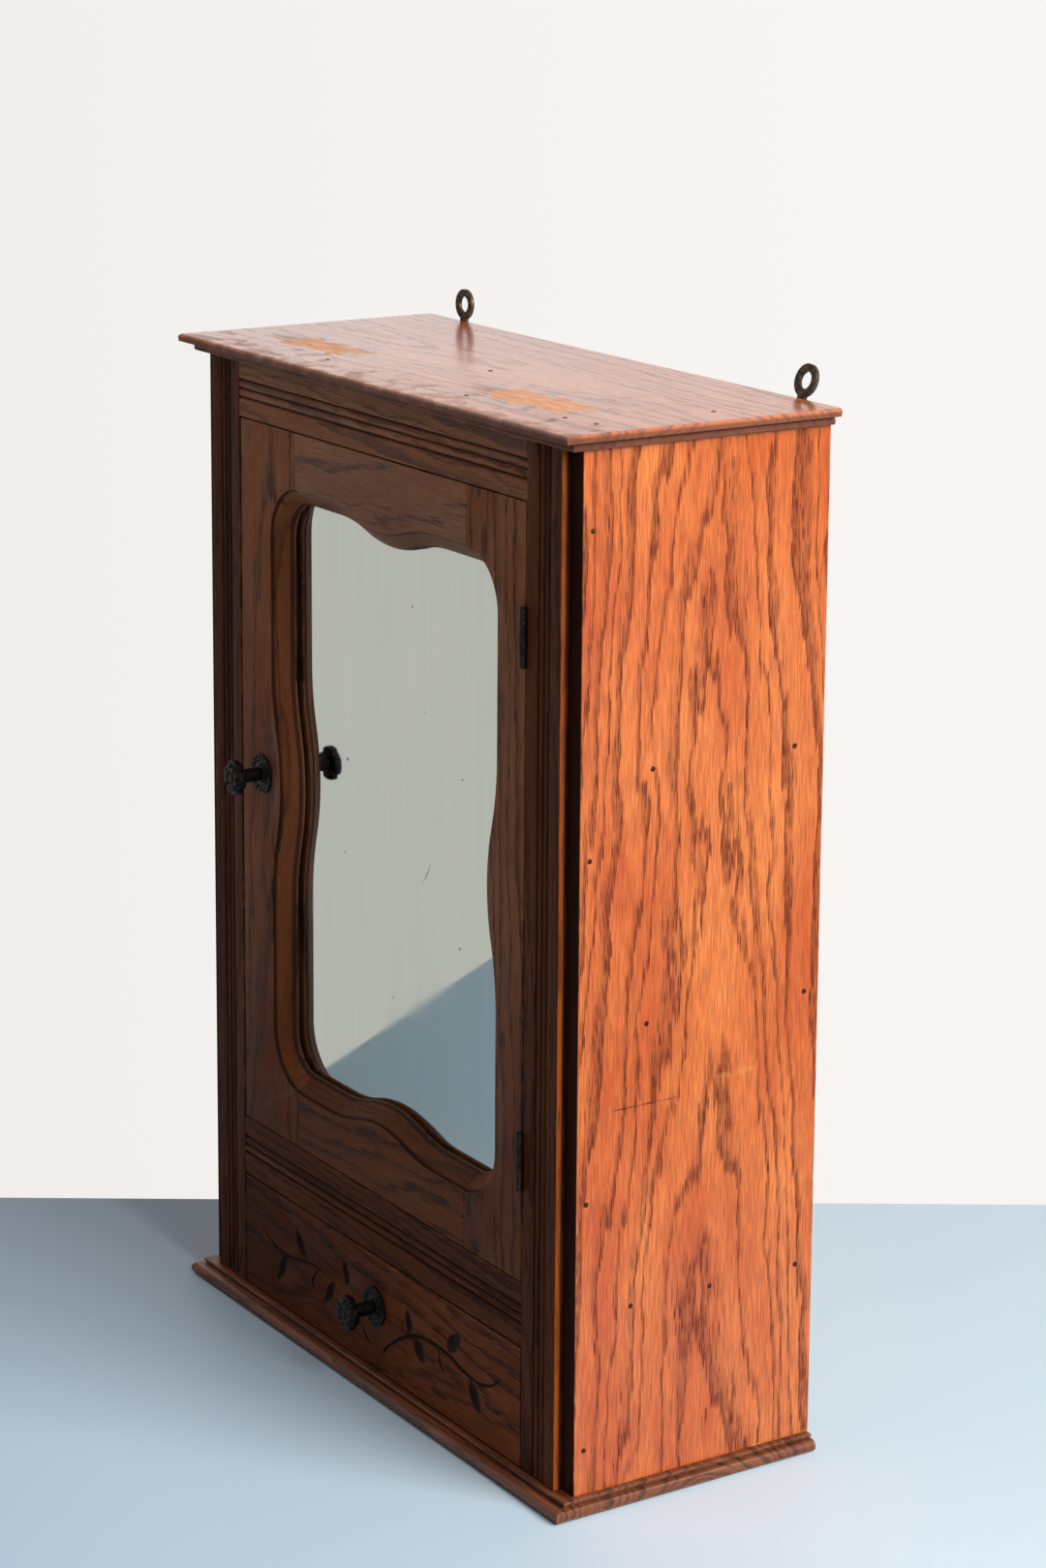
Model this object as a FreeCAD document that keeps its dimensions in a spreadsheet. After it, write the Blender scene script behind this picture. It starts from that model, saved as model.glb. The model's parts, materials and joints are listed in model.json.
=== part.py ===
import FreeCAD, Part
import math
import os
import re
import Sketcher

# Oak wall cabinet with a shaped mirror door above a drawer.
# Frame: +Z up, the front faces -Y, +X is the viewer's right, and the origin is the centre
# of the base board's underside. All sizes are in millimetres.

SIZES = [
    # Carcass
    ("cabinet_width", 406, "over the outside faces of the sides"),
    ("cabinet_height", 601, "underside of the base board to the face of the top board"),
    ("side_depth", 160.5, "front to back of a side"),
    ("side_thickness", 12, "side board"),
    ("back_thickness", 5, "back boards, flush with the rear of the sides"),
    ("back_rebate", 6, "back boards let into the sides"),
    ("back_board_gap", 0.4, "between neighbouring back boards"),
    # Top board, from its nose down to the bead
    ("top_nose_thickness", 4.6, "plate with the rounded nose"),
    ("top_quirk_height", 1, "narrow quirk under the nose"),
    ("top_bead_height", 4.4, "bead that meets the sides"),
    ("top_nose_overhang", 9.5, "nose past the sides"),
    ("top_nose_front", 11.5, "nose past the frame's face"),
    ("top_quirk_overhang", 1.6, "quirk past the sides and the face"),
    ("top_bead_overhang", 3.6, "bead past the sides and the face"),
    ("top_nose_round", 2.4, "upper edge of the nose"),
    ("top_bead_round", 1.6, "both edges of the bead"),
    # Base board, from its nose up to the step
    ("base_nose_thickness", 7, "plate with the bull nose"),
    ("base_quirk_height", 0.8, "narrow quirk over the nose"),
    ("base_step_height", 2.2, "square step that carries the sides"),
    ("base_nose_overhang", 7.5, "nose past the sides"),
    ("base_nose_front", 10.5, "nose past the frame's face"),
    ("base_quirk_overhang", 2.4, "quirk past the sides and the face"),
    ("base_step_overhang", 3.6, "step past the sides and the face"),
    ("base_nose_round", 3.3, "both edges of the nose"),
    # Front frame with its double reeds
    ("pilaster_width", 33.5, "pilaster, glued inside the side"),
    ("pilaster_proud", 5, "frame's face in front of the sides"),
    ("frame_thickness", 20, "pilasters and rails"),
    ("top_rail_height", 33.3, "rail under the top board"),
    ("middle_rail_height", 37, "rail between the door and the drawer"),
    ("drawer_opening_height", 72.3, "base board to the middle rail"),
    ("reed_width", 5.3, "one bead of the double reed"),
    ("reed_depth", 1.8, "depth of the quirks beside the reeds"),
    ("reed_sink", 0.2, "crown of a reed below the face"),
    ("quirk_width", 1.1, "slope outside the outer quirks"),
    # Boards inside
    ("floor_thickness", 11, "cupboard floor, level with the middle rail"),
    ("shelf_thickness", 11, "shelf"),
    ("shelf_setback", 14, "shelf front behind the frame"),
    ("lower_shelf_height", 268, "underside of the lower shelf"),
    ("upper_shelf_height", 409.5, "underside of the upper shelf"),
    ("guide_height", 14, "drawer guide on the base board"),
    ("guide_clearance", 0.4, "drawer side to its guide"),
    ("kicker_width", 46, "kicker over a drawer side"),
    ("kicker_thickness", 10, "kicker over a drawer side"),
    ("door_stop_width", 90, "block behind the top rail"),
    ("door_stop_height", 24, "block behind the top rail"),
    ("door_stop_thickness", 9, "block behind the top rail"),
    ("door_stop_reach", 8, "block below the top rail"),
    # Door
    ("door_back_gap", 0.4, "door's back face to the door stop"),
    ("door_latch_gap", 1.6, "door to the left pilaster"),
    ("door_hinge_gap", 1, "door to the right pilaster"),
    ("door_head_gap", 0.9, "door to the top rail"),
    ("door_foot_gap", 0.7, "door to the middle rail"),
    ("latch_stile_width", 65, "left stile at its joint with the rails"),
    ("hinge_stile_width", 59, "right stile at its joint with the rails"),
    ("latch_margin", 44.9, "door's left edge to the mirror"),
    ("hinge_margin", 37.5, "door's right edge to the mirror"),
    ("head_margin", 43.5, "door's top edge to the mirror"),
    ("foot_margin", 43.5, "door's bottom edge to the mirror"),
    ("tenon_length", 24, "rail tenon into a stile"),
    ("tenon_height", 20, "rail tenon"),
    ("tenon_thickness", 7, "rail tenon"),
    ("tenon_inset", 6, "tenon behind the door's face"),
    ("tenon_end_gap", 1, "tenon's end to the mortise's floor"),
    # Shaped moulding round the mirror
    ("sight_corner_radius", 23, "rounded corner of the mirror opening"),
    ("side_wave_depth", 9.5, "bulge of a stile into the opening"),
    ("side_wave_length", 72, "from a stile's crest to where its bulge starts"),
    ("rail_wave_depth", 9, "bulge of a rail into the opening"),
    ("rail_wave_length", 58, "from a rail's crest to where its bulge starts"),
    ("moulding_width", 10, "door's face to the mirror opening"),
    ("moulding_sink", 2, "step from the door's face to the bevel"),
    ("moulding_bevel", 8, "bevelled edge of the opening"),
    # Mirror
    ("glass_depth", 12.5, "glass behind the door's face"),
    ("glass_thickness", 3, "mirror glass"),
    ("rebate_margin", 8, "rebate past the mirror opening"),
    ("glass_clearance", 0.8, "glass and its backing in the rebate"),
    # Butt hinges
    ("hinge_length", 33, "knuckle and leaves"),
    ("knuckle_diameter", 4, "hinge knuckle"),
    ("hinge_pin_diameter", 2, "hinge pin"),
    ("hinge_pin_clearance", 0.08, "pin in the door's knuckle"),
    ("knuckle_gap", 0.3, "between knuckles along the pin"),
    ("leaf_thickness", 1.2, "hinge leaf"),
    ("leaf_width", 14, "hinge axis to the leaf's edge"),
    ("leaf_clearance", 0.4, "leaf to the other leaf's knuckle"),
    ("hinge_proud", 1.6, "hinge axis in front of the frame's face"),
    ("upper_hinge_drop", 73, "door's top edge to the middle of the hinge"),
    ("lower_hinge_rise", 70.5, "door's bottom edge to the middle of the hinge"),
    # Knobs
    ("knob_projection", 22, "front of a knob from the door's face"),
    ("knob_head_diameter", 21, "knob head over its lobes"),
    ("knob_head_thickness", 6.4, "knob head with its raised middle"),
    ("knob_middle_diameter", 15.6, "raised middle of the knob head"),
    ("knob_middle_rise", 1.4, "raised middle of the knob head"),
    ("knob_lobe_depth", 1.7, "notches between the lobes"),
    ("knob_notch_radius", 3.2, "notches between the lobes"),
    ("knob_stem_diameter", 8.4, "stem behind the head"),
    ("knob_clearance", 0.3, "turning knob to its rosette"),
    ("rosette_diameter", 24, "round plate behind a knob"),
    ("rosette_thickness", 2.4, "round plate behind a knob, at its boss"),
    ("rosette_edge", 1.5, "round plate outside its boss"),
    ("rosette_boss_width", 1.6, "boss round the knob's stem"),
    ("spindle_diameter", 5, "spindle through the door or drawer front"),
    ("spindle_clearance", 0.3, "spindle in the wood"),
    ("spindle_fit", 0.08, "turning spindle in its rosette"),
    ("spindle_tail", 1.2, "spindle past its nut"),
    ("nut_diameter", 9.2, "hexagon nut across its corners"),
    ("nut_thickness", 3.4, "hexagon nut"),
    ("door_knob_inset", 23.7, "door's left edge to the knob"),
    ("door_knob_rise", 223.5, "door's bottom edge to the knob"),
    ("drawer_knob_rise", 40, "base board to the drawer knob"),
    # Turn latch on the door knob's spindle
    ("tongue_length", 33, "spindle to the tip of the tongue"),
    ("tongue_width", 10, "tongue"),
    ("tongue_thickness", 2.4, "tongue"),
    ("tongue_gap", 0.4, "tongue behind the pilaster"),
    # Drawer
    ("drawer_side_gap", 0.7, "drawer front to a pilaster"),
    ("drawer_head_gap", 0.8, "drawer front to the middle rail"),
    ("drawer_foot_gap", 1.2, "drawer front to the base board"),
    ("drawer_front_thickness", 18, "drawer front"),
    ("drawer_box_inset", 0.5, "drawer side in from the drawer front's end"),
    ("drawer_side_thickness", 9, "drawer side"),
    ("drawer_side_height", 68, "drawer side"),
    ("drawer_run_gap", 0.3, "drawer side to the base board"),
    ("drawer_back_gap", 0.4, "drawer to the back boards"),
    ("drawer_back_thickness", 8, "drawer back"),
    ("drawer_bottom_thickness", 4, "drawer bottom"),
    ("drawer_bottom_rise", 6, "groove above the drawer side's lower edge"),
    ("drawer_groove_depth", 4, "groove for the drawer bottom"),
    ("drawer_bottom_clearance", 0.3, "drawer bottom in its grooves"),
    # Hanging plates on the back
    ("plate_thickness", 2, "hanging plate"),
    ("plate_width", 20, "hanging plate below its neck"),
    ("plate_top_drop", 4, "plate's shoulders below the top board's face"),
    ("plate_length", 38, "shoulders to the plate's lower end"),
    ("plate_neck_width", 6.8, "neck under the ring"),
    ("plate_ring_diameter", 18.7, "ring at the plate's head"),
    ("plate_hole_diameter", 10, "hole in the ring"),
    ("plate_ring_rise", 10.3, "centre of the hole above the top board"),
    ("plate_screw_diameter", 4, "screw hole"),
    ("plate_screw_margin", 11, "screw hole to the end of the plate"),
    ("left_plate_inset", 31.5, "left plate from the outside of its side"),
    ("right_plate_inset", 29.8, "right plate from the outside of its side"),
    ("left_bend_angle", 2, "degrees that the left ring leans back"),
    ("right_bend_angle", 18, "degrees that the right ring leans back"),
]

# Places that follow from the sizes, each a formula of sizes and earlier places
PLACES = [
    ("outer_half", "cabinet_width / 2"),
    ("inner_half", "outer_half - side_thickness"),
    ("opening_half", "inner_half - pilaster_width"),
    ("base_thickness", "base_nose_thickness + base_quirk_height + base_step_height"),
    ("top_thickness", "top_nose_thickness + top_quirk_height + top_bead_height"),
    ("back_face", "(side_depth + pilaster_proud + base_nose_front) / 2"),
    ("back_front", "back_face - back_thickness"),
    ("side_front", "back_face - side_depth"),
    ("frame_face", "side_front - pilaster_proud"),
    ("frame_back", "frame_face + frame_thickness"),
    ("carcass_top", "cabinet_height - top_thickness"),
    ("drawer_head", "base_thickness + drawer_opening_height"),
    ("floor_level", "drawer_head + middle_rail_height"),
    ("door_head", "carcass_top - top_rail_height"),
    ("back_half", "inner_half + back_rebate"),
    ("back_board_width", "(2 * back_half - 2 * back_board_gap) / 3"),
    ("door_left", "door_latch_gap - opening_half"),
    ("door_right", "opening_half - door_hinge_gap"),
    ("door_bottom", "floor_level + door_foot_gap"),
    ("door_top", "door_head - door_head_gap"),
    ("door_thickness", "frame_thickness - door_back_gap"),
    ("door_back", "frame_face + door_thickness"),
    ("latch_joint", "door_left + latch_stile_width"),
    ("hinge_joint", "door_right - hinge_stile_width"),
    ("sight_left", "door_left + latch_margin"),
    ("sight_right", "door_right - hinge_margin"),
    ("sight_bottom", "door_bottom + foot_margin"),
    ("sight_top", "door_top - head_margin"),
    ("top_tenon_middle", "door_top - (head_margin - rebate_margin) / 2"),
    ("bottom_tenon_middle", "door_bottom + (foot_margin - rebate_margin) / 2"),
    ("hinge_axis_x", "opening_half - door_hinge_gap / 2"),
    ("hinge_axis_y", "frame_face - hinge_proud"),
    ("leaf_start", "hinge_axis_y + knuckle_diameter / 2 + leaf_clearance"),
    ("upper_hinge_middle", "door_top - upper_hinge_drop"),
    ("lower_hinge_middle", "door_bottom + lower_hinge_rise"),
    ("knuckle_length", "(hinge_length - 2 * knuckle_gap) / 3"),
    ("door_knob_x", "door_left + door_knob_inset"),
    ("door_knob_z", "door_bottom + door_knob_rise"),
    ("drawer_knob_z", "base_thickness + drawer_knob_rise"),
    ("tongue_front", "frame_back + tongue_gap"),
    ("door_nut_front", "tongue_front + tongue_thickness"),
    ("drawer_front_half", "opening_half - drawer_side_gap"),
    ("drawer_front_back", "frame_face + drawer_front_thickness"),
    ("drawer_outer_half", "drawer_front_half - drawer_box_inset"),
    ("drawer_inner_half", "drawer_outer_half - drawer_side_thickness"),
    ("drawer_rear", "back_front - drawer_back_gap"),
    ("drawer_run", "base_thickness + drawer_run_gap"),
    ("drawer_side_top", "drawer_run + drawer_side_height"),
    ("drawer_floor", "drawer_run + drawer_bottom_rise"),
    ("drawer_floor_top", "drawer_floor + drawer_bottom_thickness"),
    ("plate_shoulder", "cabinet_height - plate_top_drop"),
    ("plate_foot", "plate_shoulder - plate_length"),
    ("plate_hole_z", "cabinet_height + plate_ring_rise"),
]

HINGES = ("upper", "lower")
LEFT, RIGHT = "left", "right"
FRONT_AXIS = FreeCAD.Rotation(FreeCAD.Vector(1, 0, 0), 90)
BACK_AXIS = FreeCAD.Rotation(FreeCAD.Vector(1, 0, 0), -90)
ALONG_X = FreeCAD.Rotation(FreeCAD.Vector(0, 1, 0), 90)

doc = FreeCAD.newDocument("wall_cabinet")
nodes = []


# Sheets

def make_sheet(name, rows):
    sheet = doc.addObject("Spreadsheet::Sheet", name)
    for line, (alias, content, note) in enumerate(rows, start=1):
        sheet.set(f"A{line}", alias)
        sheet.set(f"B{line}", content)
        sheet.set(f"C{line}", note)
        sheet.setAlias(f"B{line}", alias)
    doc.recompute()
    return sheet


def formula(text):
    """Turn plain names into sheet cells, so that side_depth becomes sizes.side_depth."""
    return re.sub(r"[a-z][a-z_]+", lambda word: OWNERS[word.group()] + "." + word.group(), text)


OWNERS = {alias: "sizes" for alias, _, _ in SIZES}
OWNERS.update({alias: "places" for alias, _ in PLACES})
sizes = make_sheet("sizes", [(alias, str(amount), note) for alias, amount, note in SIZES])
places = make_sheet("places", [(alias, "=" + formula(text), "") for alias, text in PLACES])


def number(text):
    return float(sizes.evalExpression(formula(text)))


def bind(item, **settings):
    for name, text in settings.items():
        item.setExpression(name, formula(text))


def place(item, x="0", y="0", z="0", turn=None):
    """Bind where an object stands, after its turn has been set."""
    if turn is not None:
        item.Placement = FreeCAD.Placement(FreeCAD.Vector(), turn)
    for axis, text in zip("xyz", (x, y, z)):
        item.setExpression("Placement.Base." + axis, formula(text))


def keep(item, label):
    """Name a finished sub-part and list it for export."""
    item.Label = label
    nodes.append(item)
    return item


# Solids from primitives and booleans

def box(name, x, y, z):
    """Block between the low and high formulas given for each axis."""
    item = doc.addObject("Part::Box", name)
    for setting, (low, high) in zip(("Length", "Width", "Height"), (x, y, z)):
        item.setExpression(setting, formula(f"({high}) - ({low})"))
    place(item, x[0], y[0], z[0])
    return item


def cylinder(name, radius, length, x, y, z, turn=None):
    item = doc.addObject("Part::Cylinder", name)
    bind(item, Radius=radius, Height=length)
    place(item, x, y, z, turn)
    return item


def fuse(name, items):
    item = doc.addObject("Part::MultiFuse", name)
    item.Shapes = items
    return item


def cut(name, base, tools):
    item = doc.addObject("Part::Cut", name)
    item.Base = base
    item.Tool = tools[0] if len(tools) == 1 else fuse(name + "_tools", tools)
    return item


def common(name, base, tool):
    item = doc.addObject("Part::Common", name)
    item.Base = base
    item.Tool = tool
    return item


def sided(hand, low, high):
    """Span along X on the right, or its mirror image on the left."""
    return (low, high) if hand == RIGHT else (f"-({high})", f"-({low})")


# Solids from sketches

def add_body(name):
    return doc.addObject("PartDesign::Body", name)


def add_sketch(body, name, role, lift="0"):
    """Sketch on an origin plane of its body, lifted along the plane's normal."""
    sketch = body.newObject("Sketcher::SketchObject", name)
    plane = [item for item in body.Origin.OriginFeatures if item.Role == role][0]
    sketch.AttachmentSupport = [(plane, "")]
    sketch.MapMode = "FlatFace"
    sketch.setExpression("AttachmentOffset.Base.z", formula(lift))
    return sketch


def point(across, up):
    return FreeCAD.Vector(across, up, 0)


def closed_lines(corners):
    """Line segments from each corner to the next and back to the first."""
    following = corners[1:] + corners[:1]
    return [Part.LineSegment(start, finish) for start, finish in zip(corners, following)]


def add_rectangle(sketch, across, up):
    """Rectangle whose edges are bound to the low and high formulas of its two directions."""
    left, right = (number(text) for text in across)
    bottom, top = (number(text) for text in up)
    corners = [point(left, bottom), point(right, bottom), point(right, top), point(left, top)]
    first = sketch.addGeometry(closed_lines(corners))[0]
    for i in range(4):
        sketch.addConstraint(Sketcher.Constraint("Coincident", first + i, 2, first + (i + 1) % 4, 1))
        kind = "Vertical" if i % 2 else "Horizontal"
        sketch.addConstraint(Sketcher.Constraint(kind, first + i))
    limits = [
        ("low_across", "DistanceX", 0, across[0]),
        ("low_up", "DistanceY", 0, up[0]),
        ("high_across", "DistanceX", 2, across[1]),
        ("high_up", "DistanceY", 2, up[1]),
    ]
    for name, kind, corner, text in limits:
        added = sketch.addConstraint(
            Sketcher.Constraint(kind, -1, 1, first + corner, 1, number(text)))
        sketch.renameConstraint(added, name)
        sketch.setExpression("Constraints." + name, formula(text))


def add_circle(sketch, radius, across="0", up="0"):
    """Circle bound to its radius and centre."""
    centre = point(number(across), number(up))
    shape = Part.Circle(centre, FreeCAD.Vector(0, 0, 1), number(radius))
    ring = sketch.addGeometry(shape)
    limits = [
        ("radius", Sketcher.Constraint("Radius", ring, number(radius)), radius),
        ("across", Sketcher.Constraint("DistanceX", -1, 1, ring, 3, centre.x), across),
        ("up", Sketcher.Constraint("DistanceY", -1, 1, ring, 3, centre.y), up),
    ]
    for name, rule, text in limits:
        added = sketch.addConstraint(rule)
        sketch.renameConstraint(added, name)
        sketch.setExpression("Constraints." + name, formula(text))


def add_feature(body, kind, name, sketch, length, backwards=False):
    """Pad or pocket of a sketch, by a bound length."""
    feature = body.newObject("PartDesign::" + kind, name)
    feature.Profile = sketch
    feature.Reversed = backwards
    bind(feature, Length=length)
    doc.recompute()
    return feature


def add_pocket(body, name, sketch, length, backwards=False):
    """Pocket that has to take material away."""
    volume = body.Shape.Volume
    pocket = add_feature(body, "Pocket", name, sketch, length, backwards)
    if body.Shape.Volume >= volume:
        raise RuntimeError(f"{name} takes nothing away")
    return pocket


def break_edges(body, kind, name, edges, **size):
    """Fillet or chamfer on the named edges of the body as it is."""
    feature = body.newObject("PartDesign::" + kind, name)
    feature.Base = (body.Tip if body.Tip != feature else feature.BaseFeature, edges)
    bind(feature, **size)
    doc.recompute()
    return feature


def add_revolution(body, name, sketch):
    revolution = body.newObject("PartDesign::Revolution", name)
    revolution.Profile = sketch
    revolution.ReferenceAxis = (sketch, ["V_Axis"])
    revolution.Angle = 360
    doc.recompute()
    return revolution


def edge_names(shape, test):
    return [f"Edge{i}" for i, edge in enumerate(shape.Edges, start=1) if test(edge)]


# Moulded top and base boards

def moulded_board(name, layers, rounds):
    """Stack of plates, bottom to top, moulded on the front and both ends but not at the back.

    A layer is its overhang at the ends, its overhang at the front, its foot and its height. A
    round is the index of a layer, the level of the edge and its radius.
    """
    body = add_body(name)
    for index, (ends, front, foot, height) in enumerate(layers):
        sketch = add_sketch(body, f"{name}_outline_{index}", "XY_Plane", foot)
        across = (f"-(outer_half + {ends})", f"outer_half + {ends}")
        add_rectangle(sketch, across, (f"frame_face - {front}", "back_face"))
        add_feature(body, "Pad", f"{name}_plate_{index}", sketch, height)
    for index, (layer, level, radius) in enumerate(rounds):
        half = number(f"outer_half + {layers[layer][0]}")
        nose = number(f"frame_face - {layers[layer][1]}")
        height = number(level)

        def on_moulding(edge):
            middle = edge.CenterOfMass
            level_edge = abs(middle.z - height) < 1e-6 and edge.BoundBox.ZLength < 1e-6
            return level_edge and (abs(abs(middle.x) - half) < 1e-6 or abs(middle.y - nose) < 1e-6)

        edges = edge_names(body.Shape, on_moulding)
        break_edges(body, "Fillet", f"{name}_round_{index}", edges, Radius=radius)
    return keep(body, name)


def build_top_and_base():
    bead_top = "carcass_top + top_bead_height"
    nose_foot = "cabinet_height - top_nose_thickness"
    moulded_board("top_board", [
        ("top_bead_overhang", "top_bead_overhang", "carcass_top", "top_bead_height"),
        ("top_quirk_overhang", "top_quirk_overhang", bead_top, "top_quirk_height"),
        ("top_nose_overhang", "top_nose_front", nose_foot, "top_nose_thickness"),
    ], [
        (0, "carcass_top", "top_bead_round"),
        (0, bead_top, "top_bead_round"),
        (2, "cabinet_height", "top_nose_round"),
    ])
    step_foot = "base_nose_thickness + base_quirk_height"
    moulded_board("base_board", [
        ("base_nose_overhang", "base_nose_front", "0", "base_nose_thickness"),
        ("base_quirk_overhang", "base_quirk_overhang", "base_nose_thickness", "base_quirk_height"),
        ("base_step_overhang", "base_step_overhang", step_foot, "base_step_height"),
    ], [
        (0, "0", "base_nose_round"),
        (0, "base_nose_thickness", "base_nose_round"),
    ])


# Sides, back and the boards inside

def build_carcass_boards():
    upright = ("base_thickness", "carcass_top")
    inside = ("-inner_half", "inner_half")
    behind_frame = ("frame_back", "back_front")
    for hand in (LEFT, RIGHT):
        x = sided(hand, "inner_half", "outer_half")
        board = box(f"{hand}_side_board", x, ("side_front", "back_face"), upright)
        x = sided(hand, "inner_half", "back_half")
        rebate = box(f"{hand}_back_rebate", x, ("back_front", "back_face"), upright)
        keep(cut(f"{hand}_rebated_board", board, [rebate]), f"{hand}_side")
        x = sided(hand, "drawer_outer_half + guide_clearance", "inner_half")
        z = ("base_thickness", "base_thickness + guide_height")
        keep(box(f"{hand}_guide", x, behind_frame, z), f"drawer_guide_{hand}")
        x = sided(hand, "inner_half - kicker_width", "inner_half")
        z = ("drawer_head", "drawer_head + kicker_thickness")
        keep(box(f"{hand}_kicker", x, behind_frame, z), f"drawer_kicker_{hand}")
    for index, position in enumerate((LEFT, "middle", RIGHT)):
        start = f"-back_half + {index} * (back_board_width + back_board_gap)"
        x = (start, start + " + back_board_width")
        board = box(f"{position}_back", x, ("back_front", "back_face"), upright)
        keep(board, f"back_board_{position}")
    z = ("floor_level - floor_thickness", "floor_level")
    keep(box("floor", inside, behind_frame, z), "cupboard_floor")
    for level in ("lower", "upper"):
        z = (f"{level}_shelf_height", f"{level}_shelf_height + shelf_thickness")
        y = ("frame_back + shelf_setback", "back_front")
        keep(box(f"{level}_board", inside, y, z), f"{level}_shelf")
    x = ("-door_stop_width / 2", "door_stop_width / 2")
    y = ("frame_back", "frame_back + door_stop_thickness")
    z = ("door_head - door_stop_reach", "door_head - door_stop_reach + door_stop_height")
    keep(box("stop_block", x, y, z), "door_stop")


# Reeded front frame

def reeded_member(name, width, length):
    """Bar along its own Z, with a sunk double reed down the middle of its front at y = 0."""
    body = add_body(name)
    section = add_sketch(body, name + "_section", "XY_Plane")
    add_rectangle(section, (f"-{width} / 2", f"{width} / 2"), ("0", "frame_thickness"))
    add_feature(body, "Pad", name + "_bar", section, length)
    reed = number("reed_width")
    deep = number("reed_depth")
    crown = number("reed_sink")
    edge = reed + number("quirk_width")
    reeds = add_sketch(body, name + "_reeds", "XY_Plane")
    reeds.addGeometry([
        Part.LineSegment(point(-edge, 0), point(-reed, deep)),
        Part.Arc(point(-reed, deep), point(-reed / 2, crown), point(0, deep)),
        Part.Arc(point(0, deep), point(reed / 2, crown), point(reed, deep)),
        Part.LineSegment(point(reed, deep), point(edge, 0)),
        Part.LineSegment(point(edge, 0), point(-edge, 0)),
    ])
    add_pocket(body, name + "_double_reed", reeds, length, backwards=True)
    return body


def hinge_mortises(owner, x):
    """Shallow cuts for the hinge leaves, open at the front."""
    mortises = []
    for level in HINGES:
        middle = f"{level}_hinge_middle"
        z = (f"{middle} - hinge_length / 2", f"{middle} + hinge_length / 2")
        y = ("frame_face", "hinge_axis_y + leaf_width")
        mortises.append(box(f"{owner}_{level}_mortise", x, y, z))
    return mortises


def build_front_frame():
    pilaster_middle = "opening_half + pilaster_width / 2"
    for hand, x in ((LEFT, f"-({pilaster_middle})"), (RIGHT, pilaster_middle)):
        bar = reeded_member(f"{hand}_reeded_bar", "pilaster_width", "carcass_top - base_thickness")
        place(bar, x, "frame_face", "base_thickness")
        if hand == RIGHT:
            span = ("opening_half", "opening_half + leaf_thickness")
            bar = cut("right_bar_with_mortises", bar, hinge_mortises("pilaster", span))
        keep(bar, f"{hand}_pilaster")
    rails = [
        ("top_rail", "top_rail_height", "carcass_top - top_rail_height / 2"),
        ("middle_rail", "middle_rail_height", "floor_level - middle_rail_height / 2"),
    ]
    for name, height, z in rails:
        bar = reeded_member(name + "_bar", height, "2 * opening_half")
        place(bar, "-opening_half", "frame_face", z, ALONG_X)
        keep(bar, name)


# Mirror door

def wave_side(straight, crest, length, depth, grow, turn):
    """One side of the mirror outline, left to right before it is turned to its own side.

    The side runs at a distance of straight above the outline's middle, and bulges towards the
    middle round the crest. Each half of the bulge is two tangent arcs of one radius. The outline
    grows outwards by an offset, which widens the arcs centred inside the opening and narrows
    the arc centred outside it.
    """
    bend = (length ** 2 + depth ** 2) / (4 * depth)
    lean = FreeCAD.Vector(length / 2, bend - depth / 2, 0) / bend
    inner = bend + grow
    starts = []
    for hand in (-1, 1):
        centre = point(crest + hand * length, straight - bend)
        foot = centre + point(0, inner)
        flank_angle = math.atan2(lean.x, lean.y) / 2
        flank = centre + point(-hand * math.sin(flank_angle), math.cos(flank_angle)) * inner
        turn_point = centre + point(-hand * lean.x, lean.y) * inner
        starts.append((foot, flank, turn_point))
    (left_foot, left_flank, left_turn), (right_foot, right_flank, right_turn) = starts
    top = point(crest, straight - depth + grow)
    moved = [turn.multVec(p) for p in (
        left_foot, left_flank, left_turn, top, right_turn, right_flank, right_foot)]
    arcs = [Part.Arc(*moved[0:3]), Part.Arc(*moved[2:5]), Part.Arc(*moved[4:7])]
    return moved[0], arcs, moved[6]


def mirror_outline(grow):
    """Lines and arcs of the shaped opening, grown outwards by an offset."""
    middle = point(
        number("(sight_left + sight_right) / 2"), number("(sight_bottom + sight_top) / 2"))
    half_wide = number("(sight_right - sight_left) / 2")
    half_tall = number("(sight_top - sight_bottom) / 2")
    corner = number("sight_corner_radius")
    rail = (number("rail_wave_length"), number("rail_wave_depth"))
    side = (number("side_wave_length"), number("side_wave_depth"))
    pieces = []
    ends = []
    for quarter in range(4):
        turn = FreeCAD.Rotation(FreeCAD.Vector(0, 0, 1), -90 * quarter)
        upright = quarter % 2 == 1
        straight = half_wide if upright else half_tall
        reach = half_tall if upright else half_wide
        start, arcs, finish = wave_side(straight, 0, *(side if upright else rail), grow, turn)
        bends = [turn.multVec(point(reach - corner, straight + grow))]
        diagonal = (corner + grow) * math.sqrt(0.5)
        bends.append(turn.multVec(point(reach - corner + diagonal, straight - corner + diagonal)))
        bends.append(turn.multVec(point(reach + grow, straight - corner)))
        pieces += arcs + [Part.LineSegment(finish, bends[0]), Part.Arc(*bends)]
        ends.append((start, bends[2]))
    for quarter in range(4):
        pieces.append(Part.LineSegment(ends[quarter][1], ends[(quarter + 1) % 4][0]))
    for piece in pieces:
        piece.translate(middle)
    return pieces


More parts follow.
